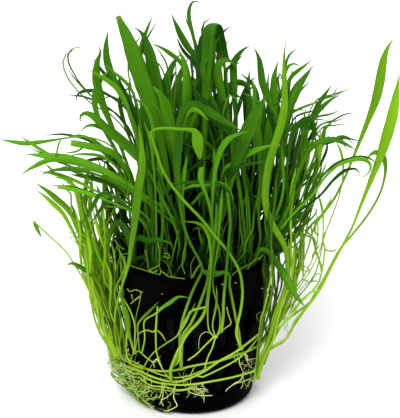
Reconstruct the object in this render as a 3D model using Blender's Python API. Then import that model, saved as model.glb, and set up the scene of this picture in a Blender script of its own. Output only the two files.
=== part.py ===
"""Lilaeopsis novae-zelandiae in a 5 cm net pot, as closed solids in metres.

The foot's centre is the origin, +Z is up and -Y is the front. Leaves seen from the front are written as
lines on a sheet through the pot's axis, square to a line of sight 22 degrees above level: millimetres
across and up. seen_at() lays such a point at a chosen depth. "Forward" is millimetres towards -Y.
"""

import math
import random

import bmesh
import bpy
import numpy as np
from mathutils import Vector
from mathutils.bvhtree import BVHTree

MM = 0.001
POT_HEIGHT = 50.0
LIP_RADIUS = 26.0
LIP_THICK = 1.5
WALL_TOP_RADIUS = 24.8
WALL_FOOT_RADIUS = 19.4
FOOT_ROUND = 3.0
WALL = 1.2
FLOOR = 1.4
SLOT_TIERS = ((7.0, 19.5), (23.0, 35.5))
SLOTS = 16
MEDIUM_TOP = 46.0
GAP = 0.3
CROWN_RADIUS = 1.5
SIDE_CROWN_OUT = {"side_left": 1.7, "side_right": 0.5}
CREASE = math.radians(40.0)

SIGHT_UP = math.radians(22.0)
SIGHT_FROM = 550.0
SIGHT_AT = np.array((2.2, 0.0, 62.6))
SHEET_AT = (2.2, 57.3)
SAMPLES = 44

LEAF = (0.10, 0.30, 0.02)
STEM = (0.28, 0.50, 0.08)
BLACK = (0.008, 0.008, 0.009)
PEAT = (0.05, 0.03, 0.015)
ROOT = (0.45, 0.50, 0.22)

# Each plantlet: its crown (across, forward), then its leaves. Each leaf: width at its widest, forward of
# its tip, its line from the soil to the tip, and where it needs them its own "end" (cut square, or clipped
# off near its tip), its blade's "reach" and its "stalk", in millimetres. A third number in a point moves
# the leaf there forward of the straight way from root to tip.
POTTED = [
    ((-8, 3), [
        (5.4, -6, [(-7, 60), (-9.5, 76), (-12.6, 88), (-15.8, 97.2), (-19.4, 108), (-23.4, 117.4)],
            {"end": "clipped"}),
        (4.4, -20, [(-8, 60), (-9.5, 78), (-11, 92), (-12.6, 101), (-14.1, 108), (-15.9, 112),
            (-18.2, 113.8)]),
        (3.7, 2, [(-4.5, 60), (-5.2, 72), (-6.6, 82), (-8.2, 88.5), (-10.2, 93), (-12.4, 95.4)], {"reach": 20}),
    ]),
    ((-13, 8), [
        (2.5, -8, [(-13, 62), (-17, 80), (-21, 90), (-24.5, 97), (-26.7, 103), (-27.1, 108),
            (-26.5, 112.7)]),
        (2.2, -14, [(-14, 64), (-18, 82), (-21, 92), (-22.6, 96.5), (-23.4, 99.3)]),
        (1.7, 10, [(-15, 62), (-17, 76), (-20, 88), (-23, 94), (-26.5, 97.2), (-29.5, 99),
            (-32.2, 100.8)]),
    ]),
    ((-17, 3), [
        (2.7, 4, [(-18, 62), (-21.5, 74), (-24.8, 82), (-27.3, 88), (-29, 93), (-30, 98), (-29.8, 103),
            (-28.8, 106), (-29.3, 108.1)]),
        (1.5, 6, [(-18, 64), (-21, 72), (-26, 77.2), (-30.5, 79.2), (-36, 79.8), (-42, 79),
            (-48, 78.1), (-52, 77.7), (-56, 78.2), (-60, 79)], {"stalk": 0.5}),
    ]),
    ((-6, 17), [
        (2.5, 24, [(-4.7, 41), (-4.2, 47), (-6.8, 55), (-9.8, 61), (-13.5, 68.5), (-19, 74.5),
            (-24, 79.5), (-28, 83.5), (-31, 86.2), (-33.5, 87.2), (-35.2, 86.2), (-34.8, 84.2)]),
        (1.6, 20, [(-2.9, 41), (-2.5, 45), (-2.3, 48), (-3, 56), (-3.4, 64), (-1.8, 74)]),
    ]),
    ((-2, 10), [
        (2.9, 14, [(-4, 51), (-9, 57.5), (-13, 60), (-17, 62.8), (-21, 65.5), (-25, 68), (-30, 70.3),
            (-36, 72.2), (-42, 73.4), (-47, 74), (-52, 74.4)]),
        (1.6, 24, [(-4, 50), (-10, 56), (-17, 61.5), (-24, 66), (-30, 69.5), (-36, 71.5), (-42, 72.6),
            (-46, 72.1), (-49, 70.7), (-51.5, 69.4), (-53.4, 68)]),
    ]),
    ((-12, 14), [
        (1.3, 12, [(-13, 52), (-17, 57), (-22, 60), (-27, 61.5), (-31, 63.3), (-35, 65.4), (-39, 67),
            (-43, 68.3), (-48, 69)]),
        (1.3, 20, [(-14, 50), (-17.5, 55), (-22, 58), (-25, 59.3), (-29, 60.8), (-34, 62.5),
            (-38, 63.5), (-42.2, 64.2)], {"end": "cut"}),
        (1.5, 26, [(-14, 51), (-18, 56), (-23, 60), (-27, 62), (-29, 61.8), (-30.3, 60), (-32.5, 56),
            (-35.2, 51.9)]),
    ]),
    ((-18.5, 8.5), [
        (1.1, 10, [(-19, 58), (-26, 67.5), (-34, 71.6), (-40, 73.2), (-44, 74), (-47.5, 75.8),
            (-50.5, 77.8), (-53.8, 80)]),
        (2.2, 2, [(-18, 58), (-20, 68), (-24, 74), (-28, 76), (-33, 77.1), (-38, 78)], {"end": "cut"}),
        (1, 16, [(-20, 60), (-23, 69), (-27, 73), (-30, 74.1), (-35, 74.4), (-38.5, 73.9)]),
    ]),
    ((-10, -4), [
        (1.3, -22, [(-12, 70), (-15, 88), (-17, 100), (-16.3, 107.5), (-15, 111.3), (-13.8, 114.5),
            (-12.6, 117.2)]),
        (0.7, -12, [(-14, 75), (-18, 86), (-19.6, 93), (-20.1, 95.5), (-19.1, 98.5)]),
    ]),
    ((-16, -6), [
        (0.6, -10, [(-17, 70), (-19, 80), (-24, 86.9), (-28, 89.3), (-32, 93), (-35.5, 97),
            (-37.8, 100.8), (-39, 104), (-38.5, 106.2), (-36.8, 107.6), (-34.1, 107.4)]),
        (1.2, -16, [(-16, 72), (-18, 82), (-20.5, 88), (-24, 91.3), (-28, 93.6), (-31, 94.2),
            (-34, 94), (-36, 93), (-36.3, 91)]),
    ]),
    ((-4, -3), [
        (2.6, 22, [(-5, 65), (-5, 80), (-3, 88), (0, 89.9), (4, 88), (8, 85.6), (12, 83.3), (15, 81.8)]),
        (1.5, -16, [(-3, 75), (-1, 90), (-1.5, 98), (-4, 103), (-7, 105.6), (-10, 107.6), (-12.6, 108.8)]),
        (3.4, -12, [(-2, 60), (-1.8, 78), (-1.7, 88), (-1.7, 95), (-2.2, 101), (-3.4, 104.8),
            (-4.8, 107.2)], {"reach": 24}),
        (3.8, -20, [(-6.5, 60), (-8.5, 76), (-9.4, 86), (-9, 93), (-7.8, 98.5), (-5.9, 103),
            (-3.6, 105.8)], {"reach": 24}),
        (0.6, -8, [(-6, 80), (-7, 95), (-8.2, 102.3), (-9.3, 104.5), (-10.5, 106.6), (-12, 108.3)]),
    ]),
    ((-2, -11), [
        (2.2, -30, [(1, 75), (3.5, 88), (3.3, 98), (1.2, 104), (-1.5, 107.5), (-3.6, 111),
            (-5.2, 114.5), (-6.8, 118.1)]),
    ]),
    ((2, -5), [
        (1.5, -20, [(1.5, 70), (1.8, 90), (1.3, 102), (0.7, 108), (-0.1, 112), (-1, 116), (-1.2, 119),
            (-0.3, 121.6), (0.8, 122.2), (2.1, 121.4)]),
    ]),
    ((4, 3), [
        (3.9, -10, [(3.3, 60), (3.6, 80), (3.9, 92), (4.3, 102), (4.8, 108), (5, 112.5),
            (6, 115, -2.5), (7.3, 113.5, -4.2), (8.4, 109.5, -4.6), (9.6, 104, -4.6)], {"end": "cut"}),
        (1.4, -22, [(7, 70), (9, 88), (10, 99), (9, 106), (8.4, 110.5), (9.6, 112.6), (11.8, 114.2)]),
    ]),
    ((9, -4), [
        (2.8, -6, [(11, 70), (11, 84), (9.3, 91), (8, 97), (7.6, 101.3), (9.5, 103.6), (12, 103.3),
            (13.2, 101.3)]),
        (2.6, -24, [(9, 70), (9.5, 85), (10.5, 93.5), (13, 96.4), (16, 96.2), (17.6, 93.5)]),
    ]),
    ((12, 3), [
        (2.4, -8, [(12, 60), (13.4, 80), (12.9, 92), (12.6, 99), (12.6, 102.6), (14, 105.3),
            (16, 107.2), (17.7, 108.2)]),
        (0.5, 10, [(9, 80), (11, 92), (13.8, 91.3), (16.5, 90.5)]),
    ]),
    ((16, -3), [
        (2.4, -26, [(17, 70), (17.6, 86), (17, 94), (17.4, 98), (17.6, 100.6)]),
        (1.6, 4, [(19, 72), (19.2, 86), (19.3, 92), (18.9, 95.8), (18.2, 98)]),
    ]),
    ((21, 4), [
        (2.2, 4, [(25, 62), (27.5, 75), (26.8, 84.2), (25, 87.8), (23, 92), (21.6, 96.8),
            (21.1, 100.5), (20.6, 104), (19.1, 107.6)]),
        (1.9, -6, [(27, 66), (29, 78), (29.8, 86), (31.2, 92.5), (33.3, 95.8), (35.3, 98.8), (37.5, 102)]),
    ]),
    ((15.5, -6.5), [
        (4.2, -20, [(20, 62), (23.5, 78), (25.2, 87), (25.2, 94), (25.4, 99), (26.6, 103.5)]),
        (0.9, -26, [(24, 80), (28, 95), (28.8, 101), (29.6, 104.6), (31, 106.3), (32.8, 107.4)]),
        (1, -14, [(25, 78), (28, 92), (28.6, 99), (29.7, 101.8), (31.2, 102.6), (32.6, 102.3),
            (33.7, 101.4)]),
    ]),
    ((21.1, -2.9), [
        (1.4, -20, [(25, 72), (28, 88), (29.2, 95), (30.6, 98.4), (32.5, 100.2), (34.8, 101.9),
            (36.9, 103.8)]),
        (0.5, 6, [(27, 76), (29, 85), (30.5, 89), (31.8, 90.2), (32.8, 92.3), (33.8, 94.1)]),
        (0.9, -12, [(27, 70), (28.5, 81), (30, 86.2), (33, 88.4), (37, 90), (38.7, 90.7), (40, 91.6)]),
    ]),
    ((6, 18), [
        (4.4, 20, [(7, 44), (8.3, 52), (10.2, 59), (11.6, 66), (13.4, 72), (15.5, 78), (18, 84),
            (20.5, 88.5), (22.8, 92.8)], {"reach": 21, "stalk": 1.5}),
        (2.3, 26, [(2.9, 43.2), (3.2, 45.5), (3.6, 48.2)]),
    ]),
    ((3, 13), [
        (1.9, 22, [(5.8, 50), (6, 58), (6.4, 66), (7.3, 71.5), (8.8, 76), (11, 79), (14, 80.6),
            (17, 81.5)]),
        (2.4, 27, [(6, 50), (5.4, 57), (4.2, 61.5), (2.8, 65.5), (2.5, 68), (2.8, 70.3)], {"end": "cut"}),
    ]),
    ((7, 9), [
        (1.8, 18, [(8, 60), (9.5, 69), (12.5, 71.6), (15.5, 73.6), (19, 75.5), (22, 76.5), (24.8, 77.4)]),
    ]),
    ((10.5, 16), [
        (1.6, 27, [(11, 44), (11.8, 49), (12.4, 54), (12.5, 59), (11.6, 62.8), (9.5, 65), (6.5, 65.2),
            (2, 64.9), (-1, 64.3), (-3.3, 63.2)]),
        (1.8, 28, [(9, 50), (8.3, 57), (7, 62.3), (5, 63.6), (3, 62.2), (1, 60.3), (-0.8, 58.7)]),
    ]),
    ((14.5, 14.5), [
        (2, 12, [(14.2, 41.5), (15.6, 48), (15.4, 56), (14.4, 64), (13, 72), (12.6, 84)]),
        (2, 2, [(15.5, 41), (17.4, 48), (17.5, 55), (16.8, 62), (15.6, 70), (16.5, 84)]),
    ]),
    ((18, 12), [
        (2.2, 4, [(18.2, 44), (18.5, 50), (19.3, 57), (20.8, 63), (21, 70), (20.5, 80), (20, 88)]),
        (2, 10, [(19.5, 42.8), (21, 48), (20.5, 54), (20.6, 59.5), (21.7, 64), (22.3, 72), (23, 84)]),
        (2.4, 28, [(20.5, 44), (22.5, 44.5), (24.5, 42.7), (26.5, 40), (28.3, 37), (30, 33.8),
            (31.8, 30.8), (33.5, 28.5), (35, 26.8)]),
    ]),
    ((19.6, -8.2), [
        (1.6, -20, [(28, 68), (34, 80), (37.5, 87), (39.5, 90.8), (41.5, 93.5), (43.2, 96)]),
        (0.6, -26, [(30, 70), (38, 88), (40.3, 91.3), (42.5, 92.3), (44.3, 93.8), (45.1, 96.2)]),
        (1.5, -14, [(30, 68), (36, 82), (38.5, 87), (41, 89.8), (43.5, 91.7), (45.9, 92.8)]),
    ]),
    ((19.7, 8.1), [
        (2.4, 8, [(27.5, 60), (29.5, 72), (30.5, 79), (32.3, 83), (34.8, 84.9), (37, 84.4),
            (37.7, 81.5), (37.3, 78)]),
        (1.7, 16, [(29, 56), (31.8, 66), (35, 73.5), (38.5, 77.8), (41.5, 78.6), (44, 79.2),
            (47, 77.9), (50.6, 75.8)]),
        (1.5, 22, [(28, 52), (33, 57.5), (37.5, 62), (41, 67), (45, 70.8), (49, 72.3), (52, 72.8),
            (54.3, 72.2), (55.4, 70.4), (54.4, 68.2), (52.4, 67)]),
    ]),
    ((15.8, -14.3), [
        (0.9, -28, [(28, 66), (34, 78), (37, 84.8), (39.5, 86.2), (42.5, 86.8), (44, 87.3), (45.8, 88.2)]),
        (0.6, -24, [(28, 64), (35, 76), (39.5, 83.2), (43, 84.6), (46, 86.2), (48.5, 87.1), (51, 87.1)]),
        (1.4, -20, [(29, 60), (36, 68), (39.8, 76), (41, 82), (42.7, 83.8), (44.1, 85.3)]),
    ]),
    ((-17.5, 12.4), [
        (1.5, 21, [(-19.3, 40), (-17.8, 41.5), (-15, 42.1), (-12, 42.3), (-9.5, 42), (-7.5, 40.8),
            (-6, 39.2)]),
        (2.3, 20, [(-18.3, 45), (-17.2, 48.4), (-14, 47.6), (-11, 47.8), (-8, 47), (-6.3, 46)]),
    ]),
    ((-11.4, 18), [
        (2, 18, [(-12.4, 43), (-12.2, 48), (-12.5, 56), (-13.5, 66), (-14.5, 78)]),
        (2, 14, [(-10.3, 44), (-9.5, 50), (-9.5, 56), (-10, 64), (-11, 76)]),
        (1, 22, [(-11.6, 60), (-12.4, 72), (-13.3, 79), (-15.2, 84.2)]),
    ]),
    ((14, -10), [
        (0.6, -16, [(30, 70), (36, 76), (41, 78), (44.3, 79.4), (46, 80.1), (48, 79.8), (50.5, 78.2)]),
    ]),
]
LEFT = [
    (1.9, 6, [(-24, 11), (-27, 20), (-29.3, 28), (-31.2, 36), (-31.9, 42), (-33.8, 47.5), (-36, 52.3),
        (-39, 57.3), (-42.5, 60.5), (-45.2, 62.8), (-48.8, 65.3)]),
    (2, 4, [(-23.5, 11), (-26.5, 24), (-29, 33), (-31, 43), (-33, 51), (-35, 57), (-36.3, 62.5),
        (-38, 65.3), (-40.5, 66.7), (-44, 67.4)]),
    (1.5, 0, [(-23.5, 11), (-28, 30), (-30.5, 40), (-32.5, 50), (-33.6, 60), (-33, 67), (-32.2, 72)]),
    (1.7, 8, [(-24, 11), (-28.5, 24), (-31.5, 30), (-34.5, 36), (-37.3, 40.6), (-40, 44.5),
        (-44, 48.2), (-48, 52), (-49.9, 53.6), (-48.8, 51.5), (-47.3, 48.7)]),
    (1, 12, [(-23, 11), (-27, 28), (-29.5, 34.5), (-32, 37.3), (-35, 39.2), (-37.5, 40.4), (-39, 40)]),
    (1.3, 2, [(-23, 11), (-25.5, 26), (-27.5, 36), (-29, 44), (-31, 51), (-32.2, 58), (-31.5, 63),
        (-31.8, 68)]),
    (1.4, 0, [(-22.5, 11), (-24.5, 24), (-26, 33), (-27.3, 41), (-28.3, 48), (-28.2, 54), (-27.8, 60),
        (-27, 66), (-26, 72)]),
    (1.2, 2, [(-22, 11), (-24, 24), (-25, 33), (-26, 42), (-26.6, 50), (-26.5, 58), (-25.5, 64)]),
    (2.7, 14, [(-22.5, 11), (-25.5, 30), (-27, 40), (-26.5, 46), (-25.3, 50.8), (-23.3, 53),
        (-21.5, 51.5), (-20.3, 48), (-19.6, 44)]),
    (0.8, 8, [(-23.5, 11), (-27.5, 30), (-30, 38), (-31.5, 45), (-34.5, 49.6), (-38, 50), (-39.7, 49.4)]),
    (1.2, 6, [(-22.5, 11), (-26, 28), (-28.5, 36), (-29.5, 44), (-28.5, 50), (-25.5, 55), (-23.5, 60),
        (-22.8, 66), (-23.4, 72)]),
    (2.6, 16, [(-22, 11), (-24.3, 20), (-24, 26), (-22.8, 31), (-21.3, 36), (-20, 40.5), (-19.4, 45),
        (-18.6, 50), (-18, 55), (-17.5, 60), (-16.8, 65), (-16, 70), (-16, 76), (-17, 84)]),
]
RIGHT = [
    (2.1, 14, [(19.5, 8), (22.5, 13.5), (24, 18), (25.6, 23), (27.5, 28), (29, 34), (29.6, 40),
        (28.6, 45.5), (26, 50.3), (23.8, 54.5), (22.7, 58.5), (22.6, 63), (23.2, 68.5), (24.3, 73.5),
        (25.9, 78.5), (27.6, 84), (28.6, 90), (28.5, 97), (28.4, 104), (28.9, 110)]),
    (3.4, 12, [(20, 8), (25, 16.5), (28.5, 22), (33, 25.5), (37, 28.7), (40, 33), (43, 39),
        (46.8, 46.3), (49.8, 52), (52.5, 59), (55.5, 66.5), (58.2, 73.3), (60.5, 80.5), (62, 86),
        (63.2, 92), (64.3, 99)]),
    (1.4, 8, [(20.5, 9), (24, 13.5), (28.8, 16.6), (32, 22), (36, 27.5), (40.5, 35), (45, 43.5),
        (48.5, 48), (52, 52.2), (55.5, 57), (58.2, 62), (59.7, 67), (60, 71.5), (58.6, 74.6),
        (56.2, 74.9), (54.5, 73.3)]),
    (3, 4, [(21, 10), (26, 23), (29, 28), (31.5, 33), (33.5, 40), (34, 46), (36, 51.3), (40, 55.3),
        (44, 60.5), (47.5, 67.5), (51, 76), (54, 83.5), (56.8, 91), (58.2, 97), (59.2, 103),
        (60.5, 107.2), (62.2, 110)]),
    (0.9, 6, [(21, 10), (28, 24), (33, 30), (37.5, 36), (39.5, 42), (41, 49), (43.5, 55.5),
        (45.6, 61.5), (46.6, 66.5), (46.8, 71), (46, 75.5), (44.3, 79)]),
    (1, 16, [(21, 13), (21.5, 22.2), (22.8, 25), (23.8, 28), (24.6, 32), (25, 36), (24.7, 40),
        (24.3, 45), (24.5, 52), (25.5, 60), (26, 68)]),
    (2, -2, [(21, 11), (27, 22), (30, 27), (32, 34), (33, 40), (33.5, 46), (34.5, 52), (36.2, 58),
        (37.5, 64), (38.5, 70), (39.5, 76), (39.7, 82)]),
    (1.6, -4, [(21, 12), (28, 26), (30.5, 34), (31.5, 42), (31.8, 50), (32.5, 58), (33.8, 66),
        (35.5, 72), (36.6, 79)]),
    (1.1, 8, [(21.5, 12), (26, 20), (31, 32), (35.5, 44), (38, 52), (41, 56.5), (42.5, 59.3),
        (43.6, 61.8)]),
    (0.8, 0, [(22, 13), (28, 30), (31, 42), (33, 52), (36, 58.5), (39, 64), (40.3, 68.5), (42.1, 72.4)]),
    (0.8, 6, [(21.5, 12), (30, 28), (36.5, 38), (40, 46), (40.6, 53), (40.3, 57), (39.5, 60.5),
        (38.5, 64)]),
    (1.5, 10, [(21, 11), (25.5, 21), (28.4, 30), (30, 38), (30.6, 46), (30.4, 54), (30.8, 62), (32, 70)]),
]
FRONT_HIGH = [
    (2.6, 18, [(-3.7, 9.5), (-4, 13), (-4.1, 17), (-3.8, 20), (-3, 23.5), (-1.5, 28), (0, 32),
        (1.7, 35.5), (3, 38.5), (1.2, 42.8), (-0.6, 46), (-2.2, 50), (-3.3, 54), (-4, 58), (-4.5, 63),
        (-5, 69), (-4.9, 74), (-4, 79), (-2.4, 85)]),
    (1.4, -4, [(-3.7, 10), (-3.2, 17.5), (-1, 21), (0.7, 24.5), (2.2, 28), (3.3, 31), (4.3, 34),
        (5, 38), (5.6, 44), (5.5, 50), (6, 56), (5.8, 62), (6, 70)], {"reach": 6, "stalk": 1.0}),
    (1.3, 8, [(-18, 12.5), (-18.1, 16), (-18.1, 21), (-19.3, 25), (-21.2, 28.6), (-23.4, 31.8),
        (-25.6, 35.3), (-28, 39.5), (-30, 44), (-32, 50)]),
    (1.7, 10, [(-18.5, 12.5), (-19.9, 18.5), (-20.1, 22), (-21, 25), (-21.9, 28), (-22.6, 32)]),
    (0.6, 20, [(-18, 12.5), (-17, 18), (-15.5, 19.2), (-13.8, 19.5), (-12.6, 19), (-11.5, 20),
        (-11.3, 23.5), (-11, 26.8)]),
    (1.2, 20, [(-16, 12), (-15, 17), (-15.3, 21.5), (-14.3, 23.2), (-11.6, 24.7), (-9.6, 26.5),
        (-7, 28.2), (-4.5, 29.9), (-1.3, 29.7)]),
    (0.9, 18, [(-17, 12), (-17.2, 20.5), (-16, 23), (-14, 25), (-12, 27), (-10.7, 28.5)]),
    (0.8, 21, [(-15, 8.5), (-14, 10.3), (-12, 12.8), (-9, 15), (-5.5, 17.3), (-4.3, 18.9),
        (-2.5, 22.5), (-0.3, 25.5), (0.7, 28.2)]),
]
FRONT_LOW = [
    (2.2, 29, [(15, 13.5), (14.3, 18.8), (13.6, 22), (12.9, 25.5), (12.1, 29.5), (11.4, 33.5),
        (11.4, 36.6), (10, 37.6), (7.5, 37), (4.8, 37.3), (2.6, 38.2)], {"reach": 6, "stalk": 0.9}),
    (3.6, 22, [(14, 13.5), (13.5, 18.5), (14, 22), (14.9, 26), (15.4, 30), (15.3, 33.5), (14.6, 37.5),
        (12.6, 41.5), (9.8, 45.5), (7, 48.6), (4.5, 52), (1.5, 55.4), (-2, 59), (-5, 62.5),
        (-7.7, 66.2), (-9.8, 70.3), (-11.2, 74.3), (-12.4, 78.5), (-13.3, 81.3), (-11, 82.3),
        (-7, 82.4), (-3, 82.1), (0, 81.9), (1.1, 80.2), (1.6, 77.5), (2.3, 72.8)], {"reach": 9, "stalk": 1.0}),
    (1.4, -4, [(-7.2, 5.5), (-6.9, 7.5), (-5.8, 9.5), (-4.2, 13), (-3, 16.5), (-1, 19.3), (1, 21.3),
        (2.8, 23.5), (4.1, 26.5), (4.7, 30), (5.1, 34), (5.7, 39), (6.2, 45), (7.2, 52), (7.4, 60),
        (7, 68), (6.5, 76)], {"reach": 6, "stalk": 1.0}),
    (1.4, 22, [(7, 17.5), (5.4, 18.8), (4.7, 21), (4.6, 25), (4.8, 29), (5.3, 33), (5.5, 38),
        (5.5, 44), (4.9, 48.8), (3.4, 51.8), (1, 53.1), (-2.7, 53.4)]),
    (1.7, 18, [(7, 17.5), (8, 19), (8.5, 22), (8.2, 25.5), (7.3, 28.7), (6.4, 32), (6.2, 36), (7, 41),
        (7.9, 46), (8, 50), (8.6, 57), (9.3, 65)]),
    (0.8, 24, [(7, 17.5), (6.1, 21), (6.7, 24.5), (7.3, 27.5), (7.4, 31), (7.2, 33.5)]),
    (1.4, 20, [(8.5, 18.8), (9.4, 24), (9.6, 30), (10, 34), (10.4, 38), (10.8, 43), (11.2, 48),
        (11.6, 53), (11, 60), (10, 68)]),
]
RUNNERS = {
    "high": [
        (1.1, [(-19.4, 8.9), (-18, 8.1), (-14, 7.3), (-10, 6.8), (-6, 7), (-2, 8), (2, 8.8), (6, 9.5),
            (10, 10.5), (14, 12), (17, 13), (20, 14.5), (22, 15.8)]),
        (0.7, [(-19.2, 9.2), (-18.8, 11.8), (-17, 13), (-14.5, 11), (-12.5, 9.5), (-12, 8)]),
    ],
    "low": [
        (1.1, [(-20, 8.5), (-16, 6.5), (-12, 4.8), (-8, 3.7), (-4, 3.6), (0, 5), (4, 7), (8, 9.8),
            (12, 12), (15, 14), (18, 16.3), (21, 18.8), (24, 21.3)]),
        (1, [(-18, 7), (-15, 5), (-12, 3.5), (-8, 2.8), (-4, 2.5), (0, 2.7), (4, 3.3), (8, 4),
            (12, 4.8), (15, 5.6), (18, 6.5), (19.5, 7.5)]),
        (0.8, [(3.6, 7.2), (4.6, 11), (6, 14), (7, 17.5)]),
        (0.8, [(6.8, 17.8), (3.5, 14.5), (1, 12), (-1.5, 10.2)]),
        (0.6, [(8.5, 18.8), (10.2, 20.3), (11.8, 21.7), (11, 24.5), (10.5, 26.8)]),
        (0.7, [(-16, 4), (-13, 2.3), (-9, 1.9), (-5, 1), (-2, 1.2), (0, 2)]),
    ],
}
# Where several leaves rise from one thickened joint of a runner.
JOINTS = {"high": [(-3.7, 8.2), (-18, 12.4)], "low": [(14.6, 13.6), (7, 17.5)]}
# The part of the front view that is closed by leaves or by the pot: leaves behind stay within it.
SCREEN = [(-20, 8), (-21, 70), (-16.5, 74), (-16.5, 84), (-19, 88), (-14, 96), (-8, 98), (0, 101),
          (8, 100), (12, 94), (13, 85), (23, 84), (26, 75), (27, 44), (19, 8)]
ROOTS = [
    [(-5.5, 2.4), (-5.8, 0.6), (-6, -0.8), (-5.8, -2), (-5.2, -3.2), (-5.1, -4.2), (-7.5, -5.4), (-9, -5.6)],
    [(-9, 2.6), (-9.3, 1), (-9.4, -1), (-9.8, -2.8), (-9.2, -4)],
    [(15.5, 5.7), (14.8, 4), (13, 3), (12, 2.2), (10.8, 1.3), (10.2, 0.5)],
]


def unit(v):
    return v / np.linalg.norm(v, axis=-1, keepdims=True)


RIGHT_WAY = np.array((1.0, 0.0, 0.0))
UP_WAY = np.array((0.0, math.sin(SIGHT_UP), math.cos(SIGHT_UP)))
BACK_WAY = np.array((0.0, -math.cos(SIGHT_UP), math.sin(SIGHT_UP)))
EYE = SIGHT_AT + SIGHT_FROM * BACK_WAY


def seen_at(across, up, forward):
    """The points at these depths that are seen at these places on the sheet."""
    across, up, forward = np.broadcast_arrays(np.asarray(across, float), up, forward)
    on_sheet = (SIGHT_AT + (across - SHEET_AT[0])[..., None] * RIGHT_WAY
                + (up - SHEET_AT[1])[..., None] * UP_WAY)
    ray = on_sheet - EYE
    return EYE + ray * ((-forward - EYE[1]) / ray[..., 1])[..., None]


def seen(point):
    """Where on the sheet a point is seen."""
    ray = np.asarray(point, float) - EYE
    ray = ray * (SIGHT_FROM / -(ray @ BACK_WAY))[..., None]
    off = EYE + ray - SIGHT_AT
    return np.stack([off @ RIGHT_WAY + SHEET_AT[0], off @ UP_WAY + SHEET_AT[1]], axis=-1)


def curve(points, count):
    """A smooth line through the points, as evenly spaced samples."""
    p = np.array(points, float)
    p = np.vstack([2 * p[0] - p[1], p, 2 * p[-1] - p[-2]])
    t = np.linspace(0, 1, 10, endpoint=False)[:, None]
    out = [0.5 * (2 * b + (c - a) * t + (2 * a - 5 * b + 4 * c - d) * t**2 + (3 * b - a - 3 * c + d) * t**3)
           for a, b, c, d in zip(p, p[1:], p[2:], p[3:])]
    dense = np.vstack(out + [p[-2:-1]])
    return evenly(dense, count)


def evenly(dense, count):
    run = np.concatenate([[0], np.cumsum(np.linalg.norm(np.diff(dense, axis=0), axis=1))])
    want = np.linspace(0, run[-1], count)
    return np.stack([np.interp(want, run, dense[:, k]) for k in range(dense.shape[1])], axis=-1)


def wall_forward(x, z, clear):
    """How far forward a point must be to stand clear of the pot there, or -99 beside or above it."""
    taper = WALL_FOOT_RADIUS + (WALL_TOP_RADIUS - WALL_FOOT_RADIUS) * np.clip((z - 3) / 44, 0, 1)
    lip = np.clip((z - 43) / 4, 0, 1)
    radius = taper + (LIP_RADIUS - taper) * lip + clear
    inside = (np.abs(x) < radius) & (z < POT_HEIGHT + clear)
    return np.where(inside, np.sqrt(np.maximum(radius**2 - x**2, 0)), -99.0)


def path_of(line, root, tip_forward, bow, clear):
    """Points from the root to the tip that are seen on the line, their depth going from the root's to the tip's."""
    own = np.array([(0.0, 0.0, 0.0)] + [tuple(p) + (0.0,) * (3 - len(p)) for p in line])
    own[0, :2] = seen(root)
    flat = curve(own, SAMPLES)
    share = np.linspace(0, 1, SAMPLES)
    forward = -root[1] + (tip_forward + root[1]) * share + bow * np.sin(np.pi * share) + flat[:, 2]
    points = seen_at(flat[:, 0], flat[:, 1], forward)
    if clear:
        for turn in range(5):
            need = wall_forward(points[:, 0], points[:, 2], clear)
            forward = np.maximum(forward, need)
            if turn < 4:
                forward[1:-1] = np.maximum((forward[:-2] + forward[1:-1] + forward[2:]) / 3, need[1:-1])
            points = seen_at(flat[:, 0], flat[:, 1], forward)
    points[0] = root
    return points


def habit_of(leaf):
    """How a leaf ends, how far its blade reaches and how thick its stalk is, as given or as usual."""
    widest, own = leaf[0], leaf[3] if len(leaf) > 3 else {}
    usual = {"end": "", "reach": 8 + 1.3 * widest**2, "stalk": min(widest, 0.3 + 0.38 * widest, 1.15)}
    return {**usual, **own}


def girth(path, widest, habit):
    """Half width and half thickness at each point, and how flat it is: a round stalk that opens into a blade."""
    left = np.linalg.norm(np.diff(path, axis=0), axis=1)[::-1].cumsum()[::-1]
    from_tip = np.append(left, 0.0)
    share = from_tip / min(habit["reach"], 0.6 * from_tip[0])
    opening = np.interp(share, (0, 0.6, 0.85, 1.05, 1.3, 1.65, 2.1), (1, 1, 0.93, 0.75, 0.45, 0.18, 0))
    width = habit["stalk"] + (widest - habit["stalk"]) * opening
    ends = {"cut": (0.8, 0.85, 0.9, 0.95, 1, 1, 1), "clipped": (0.26, 0.32, 0.5, 0.75, 0.92, 1, 1)}
    width *= np.interp(share, (0, 0.04, 0.12, 0.26, 0.42, 0.6, 3),
                       ends.get(habit["end"], (0.02, 0.1, 0.3, 0.56, 0.82, 1, 1)))
    flat = np.clip((widest - habit["stalk"]) / 0.8, 0, 1) * opening
    thick = np.minimum((1 - flat) * 0.9 * habit["stalk"] + flat * (0.42 + 0.03 * widest), width)
    return width / 2, thick / 2, flat


def wide_ways(path, roll):
    """The blade's sideways direction: square to the line of sight, rolled, and carried along without twist."""
    along = unit(np.gradient(path, axis=0))
    at = int(0.8 * len(path))
    side = unit(np.cross(along[at], BACK_WAY))
    facing = np.cross(side, along[at])
    start = math.cos(roll) * side + math.sin(roll) * facing
    ways = np.zeros_like(path)
    for order in (range(at, len(path)), range(at, -1, -1)):
        way = start
        for k in order:
            way = unit(way - (way @ along[k]) * along[k])
            ways[k] = way
    return along, ways


def roll_of(path, number, widest):
    """How far a leaf is turned from facing the front; leaves that arch sideways are turned the most."""
    flat = seen(path[int(0.55 * len(path)):])
    step = np.diff(flat, axis=0)
    angle = np.unwrap(np.arctan2(step[:, 1], step[:, 0]))
    most = 18 + 30 * min(1, (angle.max() - angle.min()) / 1.6)
    most = min(most, math.degrees(math.acos(min(1, widest / 4.9))) + 6)
    return math.radians(most) * (1 if number % 2 else -1) * (0.55 + 0.45 * math.cos(2.4 * number) ** 2)


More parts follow.
